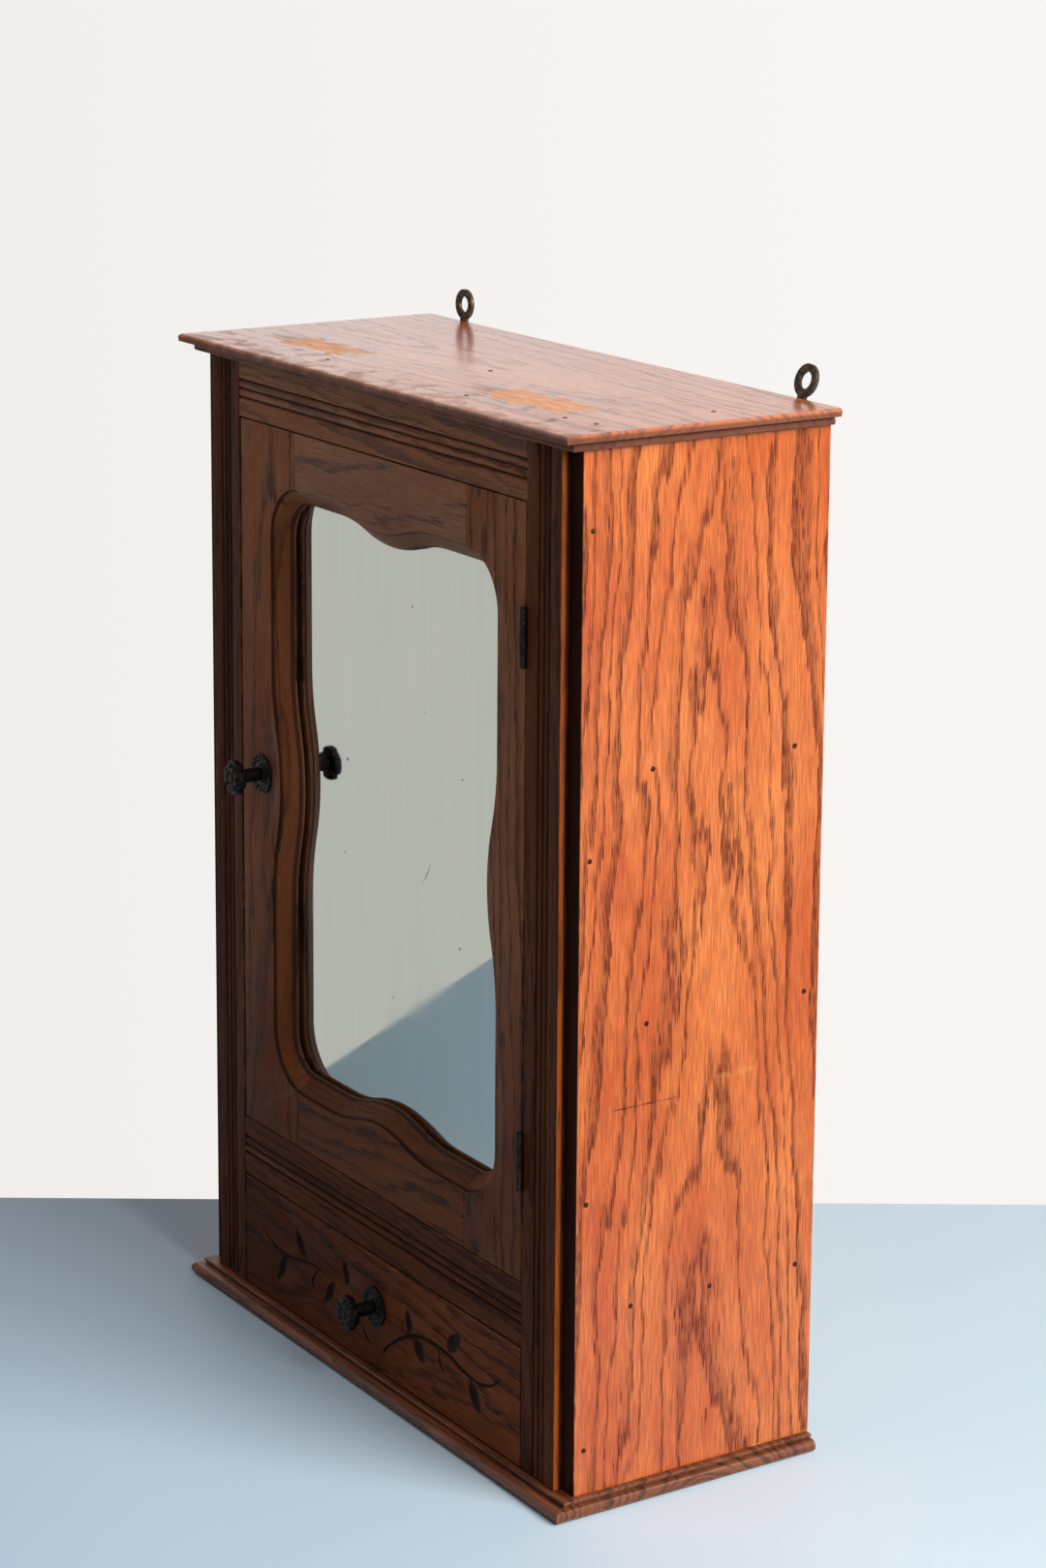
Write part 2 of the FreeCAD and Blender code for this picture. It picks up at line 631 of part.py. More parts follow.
def build_door_blank():
    """Whole door frame with its shaped, sunk and bevelled moulding and the mirror's rebate."""
    body = add_body("door_blank")
    outline = add_sketch(body, "door_outline", "XZ_Plane")
    add_rectangle(outline, ("door_left", "door_right"), ("door_bottom", "door_top"))
    add_feature(body, "Pad", "door_panel", outline, "door_thickness", backwards=True)
    sight = add_sketch(body, "sight_outline", "XZ_Plane")
    sight.addGeometry(mirror_outline(0))
    add_pocket(body, "sight_opening", sight, "door_thickness")
    step = add_sketch(body, "moulding_outline", "XZ_Plane")
    step.addGeometry(mirror_outline(number("moulding_width")))
    add_pocket(body, "moulding_step", step, "moulding_sink")
    sink = number("moulding_sink")
    floors = [
        face for face in body.Shape.Faces
        if face.BoundBox.YLength < 1e-6 and abs(face.BoundBox.YMin - sink) < 1e-6]
    inner_edges = [
        edge for wire in floors[0].Wires if not wire.isSame(floors[0].OuterWire)
        for edge in wire.Edges]
    # The bevel takes the edge between the sunk step and the opening
    names = edge_names(body.Shape, lambda edge: any(edge.isSame(other) for other in inner_edges))
    break_edges(body, "Chamfer", "moulding", names, Size="moulding_bevel")
    rebate = add_sketch(body, "rebate_outline", "XZ_Plane", "-door_thickness")
    add_rectangle(
        rebate,
        ("sight_left - rebate_margin", "sight_right + rebate_margin"),
        ("sight_bottom - rebate_margin", "sight_top + rebate_margin"))
    add_pocket(body, "mirror_rebate", rebate, "door_thickness - glass_depth", backwards=True)
    place(body, y="frame_face")
    return body


def tenon(name, x, middle):
    y = ("frame_face + tenon_inset", "frame_face + tenon_inset + tenon_thickness")
    return box(name, x, y, (f"{middle} - tenon_height / 2", f"{middle} + tenon_height / 2"))


def build_door_frame():
    """Stiles and rails cut out of the blank, with tenons in mortises."""
    blank = build_door_blank()
    through = ("frame_face", "door_back")
    full_height = ("door_bottom", "door_top")
    half_height = "(door_bottom + door_top) / 2"
    stiles = [
        ("latch", ("door_left", "latch_joint"),
         ("latch_joint - tenon_length - tenon_end_gap", "latch_joint")),
        ("hinge", ("hinge_joint", "door_right"),
         ("hinge_joint", "hinge_joint + tenon_length + tenon_end_gap")),
    ]
    for name, x, mortise_x in stiles:
        block = common(f"{name}_stile_bar", blank, box(f"{name}_span", x, through, full_height))
        tools = [
            tenon(f"{name}_{end}_mortise", mortise_x, f"{end}_tenon_middle")
            for end in ("top", "bottom")]
        if name == "hinge":
            tools += hinge_mortises("door", ("door_right - leaf_thickness", "door_right"))
        else:
            tools.append(cylinder(
                "door_spindle_hole", "spindle_diameter / 2 + spindle_clearance", "door_thickness",
                "door_knob_x", "frame_face", "door_knob_z", BACK_AXIS))
        keep(cut(f"{name}_stile_cut", block, tools), f"door_{name}_stile")
    tenon_span = ("latch_joint - tenon_length", "hinge_joint + tenon_length")
    for name, z in (("top", (half_height, "door_top")), ("bottom", ("door_bottom", half_height))):
        span = box(f"{name}_span", ("latch_joint", "hinge_joint"), through, z)
        bar = common(f"{name}_door_bar", blank, span)
        ends = tenon(f"{name}_tenons", tenon_span, f"{name}_tenon_middle")
        keep(fuse(f"{name}_tenoned_bar", [bar, ends]), f"door_{name}_rail")


def build_mirror():
    inset = "rebate_margin - glass_clearance"
    x = (f"sight_left - ({inset})", f"sight_right + {inset}")
    z = (f"sight_bottom - ({inset})", f"sight_top + {inset}")
    glass_back = "frame_face + glass_depth + glass_thickness"
    keep(box("glass", x, ("frame_face + glass_depth", glass_back), z), "mirror_glass")
    keep(box("backing", x, (glass_back, "door_back"), z), "mirror_back_board")


def hinge_leaf(name, x, middle, knuckles, bore):
    """Leaf in its mortise, joined to its own knuckles."""
    plate_z = (f"{middle} - hinge_length / 2", f"{middle} + hinge_length / 2")
    plate = box(name + "_plate", x, ("leaf_start", "hinge_axis_y + leaf_width"), plate_z)
    items = [plate]
    for index in knuckles:
        foot = f"{plate_z[0]} + {index} * (knuckle_length + knuckle_gap)"
        items.append(box(
            f"{name}_tab_{index}", x, ("hinge_axis_y", "leaf_start"),
            (foot, foot + " + knuckle_length")))
        items.append(cylinder(
            f"{name}_knuckle_{index}", "knuckle_diameter / 2", "knuckle_length",
            "hinge_axis_x", "hinge_axis_y", foot))
    hole = cylinder(
        name + "_bore", bore, "hinge_length", "hinge_axis_x", "hinge_axis_y", plate_z[0])
    return cut(name + "_cut", fuse(name + "_whole", items), [hole])


def build_hinges():
    pilaster_side = ("opening_half", "opening_half + leaf_thickness")
    door_side = ("door_right - leaf_thickness", "door_right")
    pin = "hinge_pin_diameter / 2"
    for level in HINGES:
        middle = f"{level}_hinge_middle"
        fixed = hinge_leaf(f"{level}_fixed", pilaster_side, middle, (0, 2), pin)
        keep(fixed, f"{level}_hinge_fixed_leaf")
        moving = hinge_leaf(
            f"{level}_moving", door_side, middle, (1,), pin + " + hinge_pin_clearance")
        keep(moving, f"{level}_hinge_door_leaf")
        rod = cylinder(
            f"{level}_pin", pin, "hinge_length", "hinge_axis_x", "hinge_axis_y",
            f"{middle} - hinge_length / 2")
        keep(rod, f"{level}_hinge_pin")


# Knobs, rosettes and the turn latch

def add_knob(name, x, z, clearance, tail):
    """Four-lobed knob on a stem, with a spindle that reaches back by its tail."""
    body = add_body(name + "_body")
    front = number("knob_projection")
    head = number("knob_head_diameter / 2")
    thick = number("knob_head_thickness")
    stem = number("knob_stem_diameter / 2")
    spindle = number("spindle_diameter / 2")
    seat = number(f"rosette_thickness + {clearance}")
    end = -number(tail)
    raised = number("knob_middle_diameter / 2")
    shoulder = front - number("knob_middle_rise")
    outline = [
        point(0, front),
        point(raised, front),
        point(raised, shoulder),
        point(head, shoulder),
        point(head, front - thick),
        point(stem, front - thick),
        point(stem, seat),
        point(spindle, seat),
        point(spindle, end),
        point(0, end),
    ]
    profile = add_sketch(body, name + "_profile", "XZ_Plane")
    profile.addGeometry(closed_lines(outline))
    add_revolution(body, name + "_turned", profile)
    notch = add_sketch(body, name + "_notch", "XY_Plane", "knob_projection")
    reach = "knob_head_diameter / 2 - knob_lobe_depth + knob_notch_radius"
    add_circle(notch, "knob_notch_radius", reach)
    pocket = add_pocket(body, name + "_lobe_notch", notch, "knob_head_thickness")
    pattern = body.newObject("PartDesign::PolarPattern", name + "_lobes")
    pattern.Originals = [pocket]
    pattern.Axis = (notch, ["N_Axis"])
    pattern.Angle = 360
    pattern.Occurrences = 4
    body.Tip = pattern
    lean = FreeCAD.Rotation(FreeCAD.Vector(0, 0, 1), 45)
    place(body, x, "frame_face", z, FRONT_AXIS.multiply(lean))
    return keep(body, name)


def add_rosette(name, x, z, clearance):
    """Thin plate with a boss, which the spindle passes through."""
    body = add_body(name + "_body")
    outer = number("rosette_diameter / 2")
    thick = number("rosette_thickness")
    edge = number("rosette_edge")
    hole = number(f"spindle_diameter / 2 + {clearance}")
    boss = number("knob_stem_diameter / 2 + rosette_boss_width")
    outline = [
        point(hole, 0),
        point(outer, 0),
        point(outer, edge),
        point(boss, edge),
        point(boss, thick),
        point(hole, thick),
    ]
    profile = add_sketch(body, name + "_profile", "XZ_Plane")
    profile.addGeometry(closed_lines(outline))
    add_revolution(body, name + "_turned", profile)
    place(body, x, "frame_face", z, FRONT_AXIS)
    return keep(body, name)


def add_nut(name, x, y, z):
    prism = doc.addObject("Part::Prism", name + "_prism")
    prism.Polygon = 6
    bind(prism, Circumradius="nut_diameter / 2", Height="nut_thickness")
    place(prism, x, y, z, BACK_AXIS)
    hole = cylinder(name + "_thread", "spindle_diameter / 2", "nut_thickness", x, y, z, BACK_AXIS)
    return keep(cut(name + "_cut", prism, [hole]), name)


def add_tongue():
    """Flat tongue that hangs from the spindle and turns behind the left pilaster."""
    body = add_body("tongue_body")
    half = number("tongue_width / 2")
    low = half - number("tongue_length")
    outline = add_sketch(body, "tongue_outline", "XZ_Plane")
    outline.addGeometry([
        Part.Arc(point(half, 0), point(0, half), point(-half, 0)),
        Part.LineSegment(point(-half, 0), point(-half, low)),
        Part.Arc(point(-half, low), point(0, low - half), point(half, low)),
        Part.LineSegment(point(half, low), point(half, 0)),
    ])
    add_feature(body, "Pad", "tongue_plate", outline, "tongue_thickness", backwards=True)
    hole = add_sketch(body, "tongue_hole", "XZ_Plane")
    add_circle(hole, "spindle_diameter / 2")
    add_pocket(body, "tongue_bore", hole, "tongue_thickness")
    place(body, "door_knob_x", "tongue_front", "door_knob_z")
    return keep(body, "latch_tongue")


def build_knobs():
    nut_end = "nut_thickness + spindle_tail"
    door_at = ("door_knob_x", "door_knob_z")
    add_rosette("door_rosette", *door_at, "spindle_fit")
    add_knob("door_knob", *door_at, "knob_clearance", f"door_nut_front - frame_face + {nut_end}")
    add_tongue()
    add_nut("spindle_nut", door_at[0], "door_nut_front", door_at[1])
    drawer_at = ("0", "drawer_knob_z")
    add_rosette("drawer_rosette", *drawer_at, "0")
    add_knob("drawer_knob", *drawer_at, "0", f"drawer_front_thickness + {nut_end}")
    add_nut("drawer_knob_nut", drawer_at[0], "drawer_front_back", drawer_at[1])


# Drawer

def build_drawer():
    width = ("-drawer_front_half", "drawer_front_half")
    front_y = ("frame_face", "drawer_front_back")
    front_z = ("base_thickness + drawer_foot_gap", "drawer_head - drawer_head_gap")
    floor_z = ("drawer_floor", "drawer_floor_top")
    groove_half = "drawer_inner_half + drawer_groove_depth"
    groove = box(
        "front_groove", (f"-({groove_half})", groove_half),
        ("drawer_front_back - drawer_groove_depth", "drawer_front_back"), floor_z)
    hole = cylinder(
        "drawer_spindle_hole", "spindle_diameter / 2 + spindle_clearance", "drawer_front_thickness",
        "0", "frame_face", "drawer_knob_z", BACK_AXIS)
    front = cut("front_cut", box("front_board", width, front_y, front_z), [groove, hole])
    keep(front, "drawer_front")
    run = ("drawer_front_back", "drawer_rear")
    side_z = ("drawer_run", "drawer_side_top")
    for hand in (LEFT, RIGHT):
        board = box(
            f"{hand}_drawer_board", sided(hand, "drawer_inner_half", "drawer_outer_half"), run, side_z)
        slot = box(f"{hand}_groove", sided(hand, "drawer_inner_half", groove_half), run, floor_z)
        keep(cut(f"{hand}_drawer_cut", board, [slot]), f"drawer_side_{hand}")
    inner = ("-drawer_inner_half", "drawer_inner_half")
    y = ("drawer_rear - drawer_back_thickness", "drawer_rear")
    keep(box("rear_board", inner, y, ("drawer_floor_top", "drawer_side_top")), "drawer_back")
    floor_half = f"{groove_half} - drawer_bottom_clearance"
    y = ("drawer_front_back - drawer_groove_depth + drawer_bottom_clearance", "drawer_rear")
    keep(box("bottom_board", (f"-({floor_half})", floor_half), y, floor_z), "drawer_bottom")


# Hanging plates

def build_hanging_plates():
    """Flat plate screwed behind the top board, with a ring that may be bent back."""
    for hand, x in (
            (LEFT, "left_plate_inset - outer_half"), (RIGHT, "outer_half - right_plate_inset")):
        body = add_body(f"{hand}_plate_body")
        outline = add_sketch(body, f"{hand}_plate_outline", "XZ_Plane")
        add_rectangle(
            outline, ("-plate_width / 2", "plate_width / 2"), ("plate_foot", "plate_shoulder"))
        add_feature(body, "Pad", f"{hand}_plate_pad", outline, "plate_thickness", backwards=True)
        for index, level in enumerate((
                "plate_foot + plate_screw_margin", "plate_shoulder - plate_screw_margin")):
            hole = add_sketch(body, f"{hand}_screw_{index}", "XZ_Plane")
            add_circle(hole, "plate_screw_diameter / 2", "0", level)
            add_pocket(body, f"{hand}_screw_hole_{index}", hole, "plate_thickness")
        place(body, x, "back_face")
        bend = FreeCAD.Rotation(FreeCAD.Vector(1, 0, 0), -number(f"{hand}_bend_angle"))
        rise = "plate_hole_z - plate_shoulder"
        head = add_body(f"{hand}_head_body")
        ring = add_sketch(head, f"{hand}_ring", "XZ_Plane")
        add_circle(ring, "plate_ring_diameter / 2", "0", rise)
        add_feature(head, "Pad", f"{hand}_ring_pad", ring, "plate_thickness", backwards=True)
        neck = add_sketch(head, f"{hand}_neck", "XZ_Plane")
        add_rectangle(
            neck, ("-plate_neck_width / 2", "plate_neck_width / 2"), ("0", rise))
        add_feature(head, "Pad", f"{hand}_neck_pad", neck, "plate_thickness", backwards=True)
        eye = add_sketch(head, f"{hand}_eye", "XZ_Plane")
        add_circle(eye, "plate_hole_diameter / 2", "0", rise)
        add_pocket(head, f"{hand}_eye_hole", eye, "plate_thickness")
        place(head, x, "back_face", "plate_shoulder", bend)
        keep(fuse(f"{hand}_plate_whole", [body, head]), f"hanging_plate_{hand}")


def check_and_export():
    doc.recompute()
    for item in doc.Objects:
        if "Invalid" in item.State or "Error" in item.State:
            raise RuntimeError(f"{item.Label} failed: {item.State}")
    for item in nodes:
        if item.Shape.isNull() or not item.Shape.isValid() or not item.Shape.Solids:
            raise RuntimeError(f"{item.Label} has no valid solid")
    os.makedirs("parts", exist_ok=True)
    for item in nodes:
        item.Shape.exportStep(f"parts/{item.Label}.step")
    print(f"{len(nodes)} sub-parts written")


build_top_and_base()
build_carcass_boards()
build_front_frame()
build_door_frame()
build_mirror()
build_hinges()
build_knobs()
build_drawer()
build_hanging_plates()
check_and_export()
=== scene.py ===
import json
import math

import bmesh
import bpy
from mathutils import Matrix, Vector

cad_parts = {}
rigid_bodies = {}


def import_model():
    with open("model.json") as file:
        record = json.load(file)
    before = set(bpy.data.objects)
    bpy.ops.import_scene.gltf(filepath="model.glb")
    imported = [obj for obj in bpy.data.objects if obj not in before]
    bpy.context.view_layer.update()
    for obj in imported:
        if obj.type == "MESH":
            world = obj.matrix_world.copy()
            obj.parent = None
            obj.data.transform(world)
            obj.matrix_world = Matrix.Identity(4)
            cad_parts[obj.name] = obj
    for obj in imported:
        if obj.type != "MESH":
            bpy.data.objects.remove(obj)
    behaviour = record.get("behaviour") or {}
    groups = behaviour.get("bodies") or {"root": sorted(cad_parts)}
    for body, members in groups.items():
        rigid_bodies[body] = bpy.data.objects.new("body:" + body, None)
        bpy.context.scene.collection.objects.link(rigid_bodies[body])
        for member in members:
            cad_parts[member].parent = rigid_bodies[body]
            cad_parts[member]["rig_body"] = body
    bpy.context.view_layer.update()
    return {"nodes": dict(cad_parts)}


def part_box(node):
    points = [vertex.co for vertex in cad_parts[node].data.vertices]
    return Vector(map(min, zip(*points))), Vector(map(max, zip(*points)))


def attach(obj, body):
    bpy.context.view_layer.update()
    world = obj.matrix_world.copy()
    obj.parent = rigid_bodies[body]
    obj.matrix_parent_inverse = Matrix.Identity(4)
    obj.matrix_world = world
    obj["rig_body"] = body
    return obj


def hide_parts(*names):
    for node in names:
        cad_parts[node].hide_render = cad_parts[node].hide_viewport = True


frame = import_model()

MM = 0.001

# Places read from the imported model, in metres
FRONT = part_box("top_rail")[0].y
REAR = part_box("left_side")[1].y
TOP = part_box("top_board")[1].z
DOOR_BOX = (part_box("door_latch_stile")[0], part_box("door_hinge_stile")[1])

# Camera found from the straight edges of the cabinet in a frame of 1080 x 1619 pixels
FRAME_HEIGHT_PX = 1619
FOCAL_PX = 3896.5
SHIFT_UP = -0.15
HEADING, TILT, ROLL = (math.radians(angle) for angle in (57.023, 11.541, 0.395))
EYE = Vector((1.79413, -1.14173, 0.93055))
# Row of the frame on which the floor ends
FLOOR_LINE_PX = 1240


# Colours and shader nodes

def linear(code):
    """Linear colour of an sRGB hex value."""
    parts = [int(code[i:i + 2], 16) / 255 for i in (0, 2, 4)]
    return [c / 12.92 if c <= 0.04045 else ((c + 0.055) / 1.055) ** 2.4 for c in parts] + [1]


# Settings of a Mix node that mixes colours
COLOURS = {"out": 2, "data_type": "RGBA"}


def add(tree, kind, inputs=(), out=0, **settings):
    """Add a shader node and return one output.

    The kind may be followed by a dot and the node's operation. Its inputs are listed in the order
    of the sockets, or go by socket, and each is a value or another node's output.
    """
    kind, _, operation = kind.partition(".")
    node = tree.nodes.new("ShaderNode" + kind)
    if operation:
        node.operation = operation
    for name, value in settings.items():
        setattr(node, name, value)
    for socket, value in inputs.items() if isinstance(inputs, dict) else enumerate(inputs):
        if isinstance(value, bpy.types.NodeSocket):
            tree.links.new(value, node.inputs[socket])
        else:
            node.inputs[socket].default_value = value
    return node.outputs[out]


def waves(*sizes):
    """Waves per metre of a pattern with these sizes in mm; a size of 0 leaves its axis out."""
    return [1 / (size * MM) if size else 0 for size in sizes]


def new_material(name, **constants):
    """Material whose shader has these constants on its own sockets."""
    material = bpy.data.materials.new(name)
    material.use_nodes = True
    shader = material.node_tree.nodes["Principled BSDF"]
    for socket, value in constants.items():
        shader.inputs[socket.replace("_", " ")].default_value = value
    return material


def open_paint(material):
    """Tree and shader of a material to paint, the place on the piece, and that place's X, Y and Z."""
    tree = material.node_tree
    place = add(tree, "TexCoord", out="Object")
    sides = add(tree, "SeparateXYZ", [place]).node.outputs
    return tree, tree.nodes["Principled BSDF"], place, sides


def wire(tree, shader, **outputs):
    """Link outputs to the shader's sockets."""
    for socket, output in outputs.items():
        tree.links.new(output, shader.inputs[socket.replace("_", " ")])


def lay_over(tree, shader, mask, colour, blend="MIX"):
    """Blend a colour into the shader's base colour where the mask is 1."""
    under = shader.inputs["Base Color"].links[0].from_socket
    over = add(tree, "Mix", {0: mask, 6: under, 7: colour}, **COLOURS, blend_type=blend)
    wire(tree, shader, Base_Color=over)


def scale_coat(tree, shader, share):
    """Multiply the weight of the clear coat by a share."""
    film = shader.inputs["Coat Weight"].links[0].from_socket
    wire(tree, shader, Coat_Weight=add(tree, "Math.MULTIPLY", [share, film]))


# Roughness of wood that has lost its film
DRY_ROUGHNESS = 0.75


def dull_where(tree, shader, mask):
    """Take the clear coat off where the mask is 1, and roughen the surface there."""
    scale_coat(tree, shader, add(tree, "Math.SUBTRACT", [1.0, mask]))
    rough = shader.inputs["Roughness"].links[0].from_socket
    wire(tree, shader, Roughness=add(tree, "Mix", {0: mask, 2: rough, 3: DRY_ROUGHNESS}))


# Timber

# A look's dash is the width and length of a pore dash in mm. Its pores and fibres say how strongly
# those show, its coat and shine are the clear coat's weight and the specular level, and its
# roughness runs from smooth to dull.

# Plain-sawn oak, stained brown and shellacked: open pores lie in dark dashes along the grain, and
# crowd where a growth ring starts, so that the rings show as jagged flames. The dashes are drawn
# a little wider than real pores, 0.42 mm against about 0.3 mm, so that they show.
OAK = {
    "ground": "C4561D", "pale": "E48240", "deep": "782F0C", "pore": "501303", "rubbed": "CF8A50",
    "dash": (0.42, 8), "pores": 1.0, "fibres": 0.52, "coat": 0.5, "shine": 0.07,
    "roughness": (0.34, 0.5),
}
# The top is the glossiest board: it mirrors what stands behind it
TOP_OAK = dict(OAK, pores=0.6, coat=0.95, shine=0.45, roughness=(0.26, 0.4))
# The same oak on the front, darker and dried out: the darkness is partly handling and partly painted shade,
# as the front faces away from the lamp
FRONT_OAK = dict(
    OAK, ground="905335", pale="B4744C", deep="3C1C0E", pore="120603", rubbed="AC7243",
    fibres=0.35, coat=0.0, shine=0.1, roughness=(0.46, 0.6))
# Darker still on the pilasters and the middle rail
DARK_OAK = dict(
    FRONT_OAK, ground="582D18", pale="744022", deep="2C1309", pore="0A0302", rubbed="8A5835",
    pores=0.85, shine=0.06)
# The drawer front is a little lighter, being handled most
DRAWER_OAK = dict(DARK_OAK, ground="6C371E", pale="A2582F", deep="1E0C05", fibres=0.5)
# The base board is lighter too, and has kept more of its gloss
BASE_OAK = dict(DARK_OAK, ground="7C4226", pale="925634", rubbed="B0733F", coat=0.3, shine=0.3)
# Aged unfinished deal: straight yellow-brown lines, hardly any pores, dull
DEAL = {
    "ground": "BA8658", "pale": "CD9D6E", "deep": "925F38", "pore": "7C4E30", "rubbed": "C89C72",
    "dash": (0.9, 30), "pores": 0.35, "fibres": 0.5, "coat": 0.0, "shine": 0.3, "roughness": (0.62, 0.78),
}

# Sizes across, through and along the grain in mm: bends of the rings, bundles of fibres, which are
# drawn coarser than real ones so that they show, and clouds of tone
BEND_SIZE, FIBRE_SIZE, CLOUD_SIZE = (55, 55, 240), (0.65, 0.65, 13), (48, 48, 150)
# How far the rings bend, and how unevenly they are spaced, in rings
BEND, UNEVEN = 2.4, 3.2
# Width of the porous band at the start of a ring in mm, and the largest share of a ring it takes
BAND, BAND_SHARE = 3.8, 0.46
# Depth of the pores' relief in mm
PORE_RELIEF = 0.3
# Rubbed arrises in mm: how far in they reach at most, over which width they fade, and the size of
# their patches
RUBBED_REACH, RUBBED_FADE, RUBBED_PATCH = 2.2, 1, 14.3


def pore_cells(tree, board, dash):
    """Cells the size of a pore dash: the pattern's outputs, and the place of the cell's middle."""
    wide, long = dash
    parts = add(tree, "SeparateXYZ", [board]).node.outputs
    around = add(tree, "Math.ADD", [parts["X"], parts["Y"]])
    flat = add(tree, "CombineXYZ", [around, parts["Z"]])
    cells = add(tree, "VectorMath.DIVIDE", [flat, (wide, long, 1)])
    cell = add(tree, "TexVoronoi", {"Vector": cells, "Scale": 1}, voronoi_dimensions="2D").node.outputs
    middle = add(tree, "VectorMath.MULTIPLY", [cell["Position"], (wide, long, 0)])
    aside = add(tree, "VectorMath.SUBTRACT", [middle, flat])
    aside = add(tree, "SeparateXYZ", [aside]).node.outputs
    aside = add(tree, "CombineXYZ", {0: aside["X"], 2: aside["Y"]})
    return cell, add(tree, "VectorMath.ADD", [board, aside])


def ring_phase(tree, board, heart, ring, lean):
    """How far through its growth ring a place in the board lies, from 0 to 1."""
    bend = add(tree, "VectorMath.DIVIDE", [board, BEND_SIZE])
    bend = add(tree, "TexNoise", {"Vector": bend, "Scale": 1, "Detail": 4, "Roughness": 0.62})
    bend = add(tree, "Math.MULTIPLY_ADD", [bend, 2 * BEND, -BEND])
    from_heart = add(tree, "VectorMath.SUBTRACT", [board, (*heart, 0)])
    radial = add(tree, "VectorMath.MULTIPLY", [from_heart, (1 / ring, 1 / ring, 0)])
    radial = add(tree, "VectorMath.LENGTH", [radial], out="Value")
    upward = add(tree, "VectorMath.DOT_PRODUCT", [from_heart, (0, 0, lean / ring)], out="Value")
    rings = add(tree, "Math.ADD", [radial, upward])
    rings = add(tree, "Math.ADD", [rings, bend])
    uneven = add(tree, "TexNoise", {"W": rings, "Scale": 0.45, "Detail": 1}, noise_dimensions="1D")
    rings = add(tree, "Math.MULTIPLY_ADD", [uneven, UNEVEN, rings])
    return add(tree, "Math.FRACT", [rings])


def rubbed_arrises(tree, place, box):
    """Mask of a board's rubbed arrises, where the second nearest of its faces is close."""
    low, high = box
    inward = add(tree, "VectorMath.SUBTRACT", [place, (low + high) / 2])
    inward = add(tree, "VectorMath.ABSOLUTE", [inward])
    inward = add(tree, "VectorMath.SUBTRACT", [(high - low) / 2, inward])
    depth = add(tree, "SeparateXYZ", [inward]).node.outputs
    lesser = add(tree, "Math.MINIMUM", [depth[0], depth[1]])
    greater = add(tree, "Math.MAXIMUM", [depth[0], depth[1]])
    other = add(tree, "Math.MINIMUM", [greater, depth[2]])
    arris = add(tree, "Math.MAXIMUM", [lesser, other])
    patchy = add(tree, "TexNoise", {"Vector": place, "Scale": 1 / (RUBBED_PATCH * MM), "Detail": 4})
    reach = add(tree, "MapRange", [patchy, 0.42, 0.7, 0, RUBBED_REACH * MM])
    rubbed = add(tree, "Math.SUBTRACT", [reach, arris])
    return add(tree, "MapRange", [rubbed, 0, RUBBED_FADE * MM, 0, 0.5])


def timber(name, look, box, axes, heart, ring, lean=0.02):
    """Finish of a board whose axes are across, through and along the grain.

    The heart is where the middle of the tree lies, across and through the board, in mm. The rings
    are a ring apart, in mm, and lean along the grain by so much per mm.
    """
    material = new_material(name, Coat_Roughness=0.18, Specular_IOR_Level=look["shine"])
    tree, shader, place, sides = open_paint(material)
    board = add(tree, "CombineXYZ", [sides[axis] for axis in axes])
    board = add(tree, "VectorMath.MULTIPLY", [board, (1 / MM,) * 3])

    # A dash takes its tone from the ring at its middle: pores are likely early in it and rare late
    cell, middle = pore_cells(tree, board, look["dash"])
    phase = ring_phase(tree, middle, heart, ring, lean)
    early = add(tree, "MapRange", [phase, 0, min(BAND_SHARE, BAND / ring), 1, 0.02])
    chance = add(tree, "SeparateColor", [cell["Color"]]).node.outputs
    dark = add(tree, "Math.SUBTRACT", [early, chance["Red"]])
    dark = add(tree, "MapRange", [dark, 0, 0.15])
    filled = add(tree, "MapRange", [chance["Green"], 0, 1, 0.25, 1])
    dark = add(tree, "Math.MULTIPLY", [dark, filled])
    slim = add(tree, "MapRange", [cell["Distance"], 0.45, 0.8, 1, 0])
    pores = add(tree, "Math.MULTIPLY", [dark, slim])
    pores = add(tree, "Math.MULTIPLY", [pores, 0.95 * look["pores"]])

    # Fine fibres and a slow change of tone over the board
    fibres = add(tree, "VectorMath.DIVIDE", [board, FIBRE_SIZE])
    fibres = add(tree, "TexNoise", {"Vector": fibres, "Scale": 1, "Detail": 3})
    lines = add(tree, "MapRange", [fibres, 0.38, 0.64, 0, look["fibres"]])
    clouds = add(tree, "VectorMath.DIVIDE", [board, CLOUD_SIZE])
    clouds = add(tree, "TexNoise", {"Vector": clouds, "Scale": 1, "Detail": 5, "Roughness": 0.6})
    tone = add(tree, "MapRange", [clouds, 0.36, 0.66, 0.0, 0.95])

    ground = add(tree, "Mix", {0: tone, 6: linear(look["ground"]), 7: linear(look["pale"])}, **COLOURS)
    wire(tree, shader, Base_Color=ground)
    shade = add(tree, "Math.MULTIPLY", [early, 0.62])
    rubbed = rubbed_arrises(tree, place, box)
    for mask, tint in ((shade, "deep"), (lines, "deep"), (pores, "pore"), (rubbed, "rubbed")):
        lay_over(tree, shader, mask, linear(look[tint]))

    # The film is broken over the pores, so they don't shine
    if look["coat"]:
        film = add(tree, "MapRange", [pores, 0, 1, look["coat"], 0])
        wire(tree, shader, Coat_Weight=film)
    smooth, dull = look["roughness"]
    rough = add(tree, "MapRange", [fibres, 0.3, 0.7, smooth, dull])
    height = add(tree, "Math.MULTIPLY", [fibres, 0.25])
    height = add(tree, "Math.SUBTRACT", [height, pores])
    bump = add(tree, "Bump", {"Strength": 0.6, "Distance": PORE_RELIEF * MM, "Height": height})
    wire(tree, shader, Roughness=rough, Normal=bump)
    return material


# Modelling by hand

# Corners closer than this in mm are one, and faces that turn by less than this angle are one face
JOINED, FLAT = 0.001, math.radians(0.5)


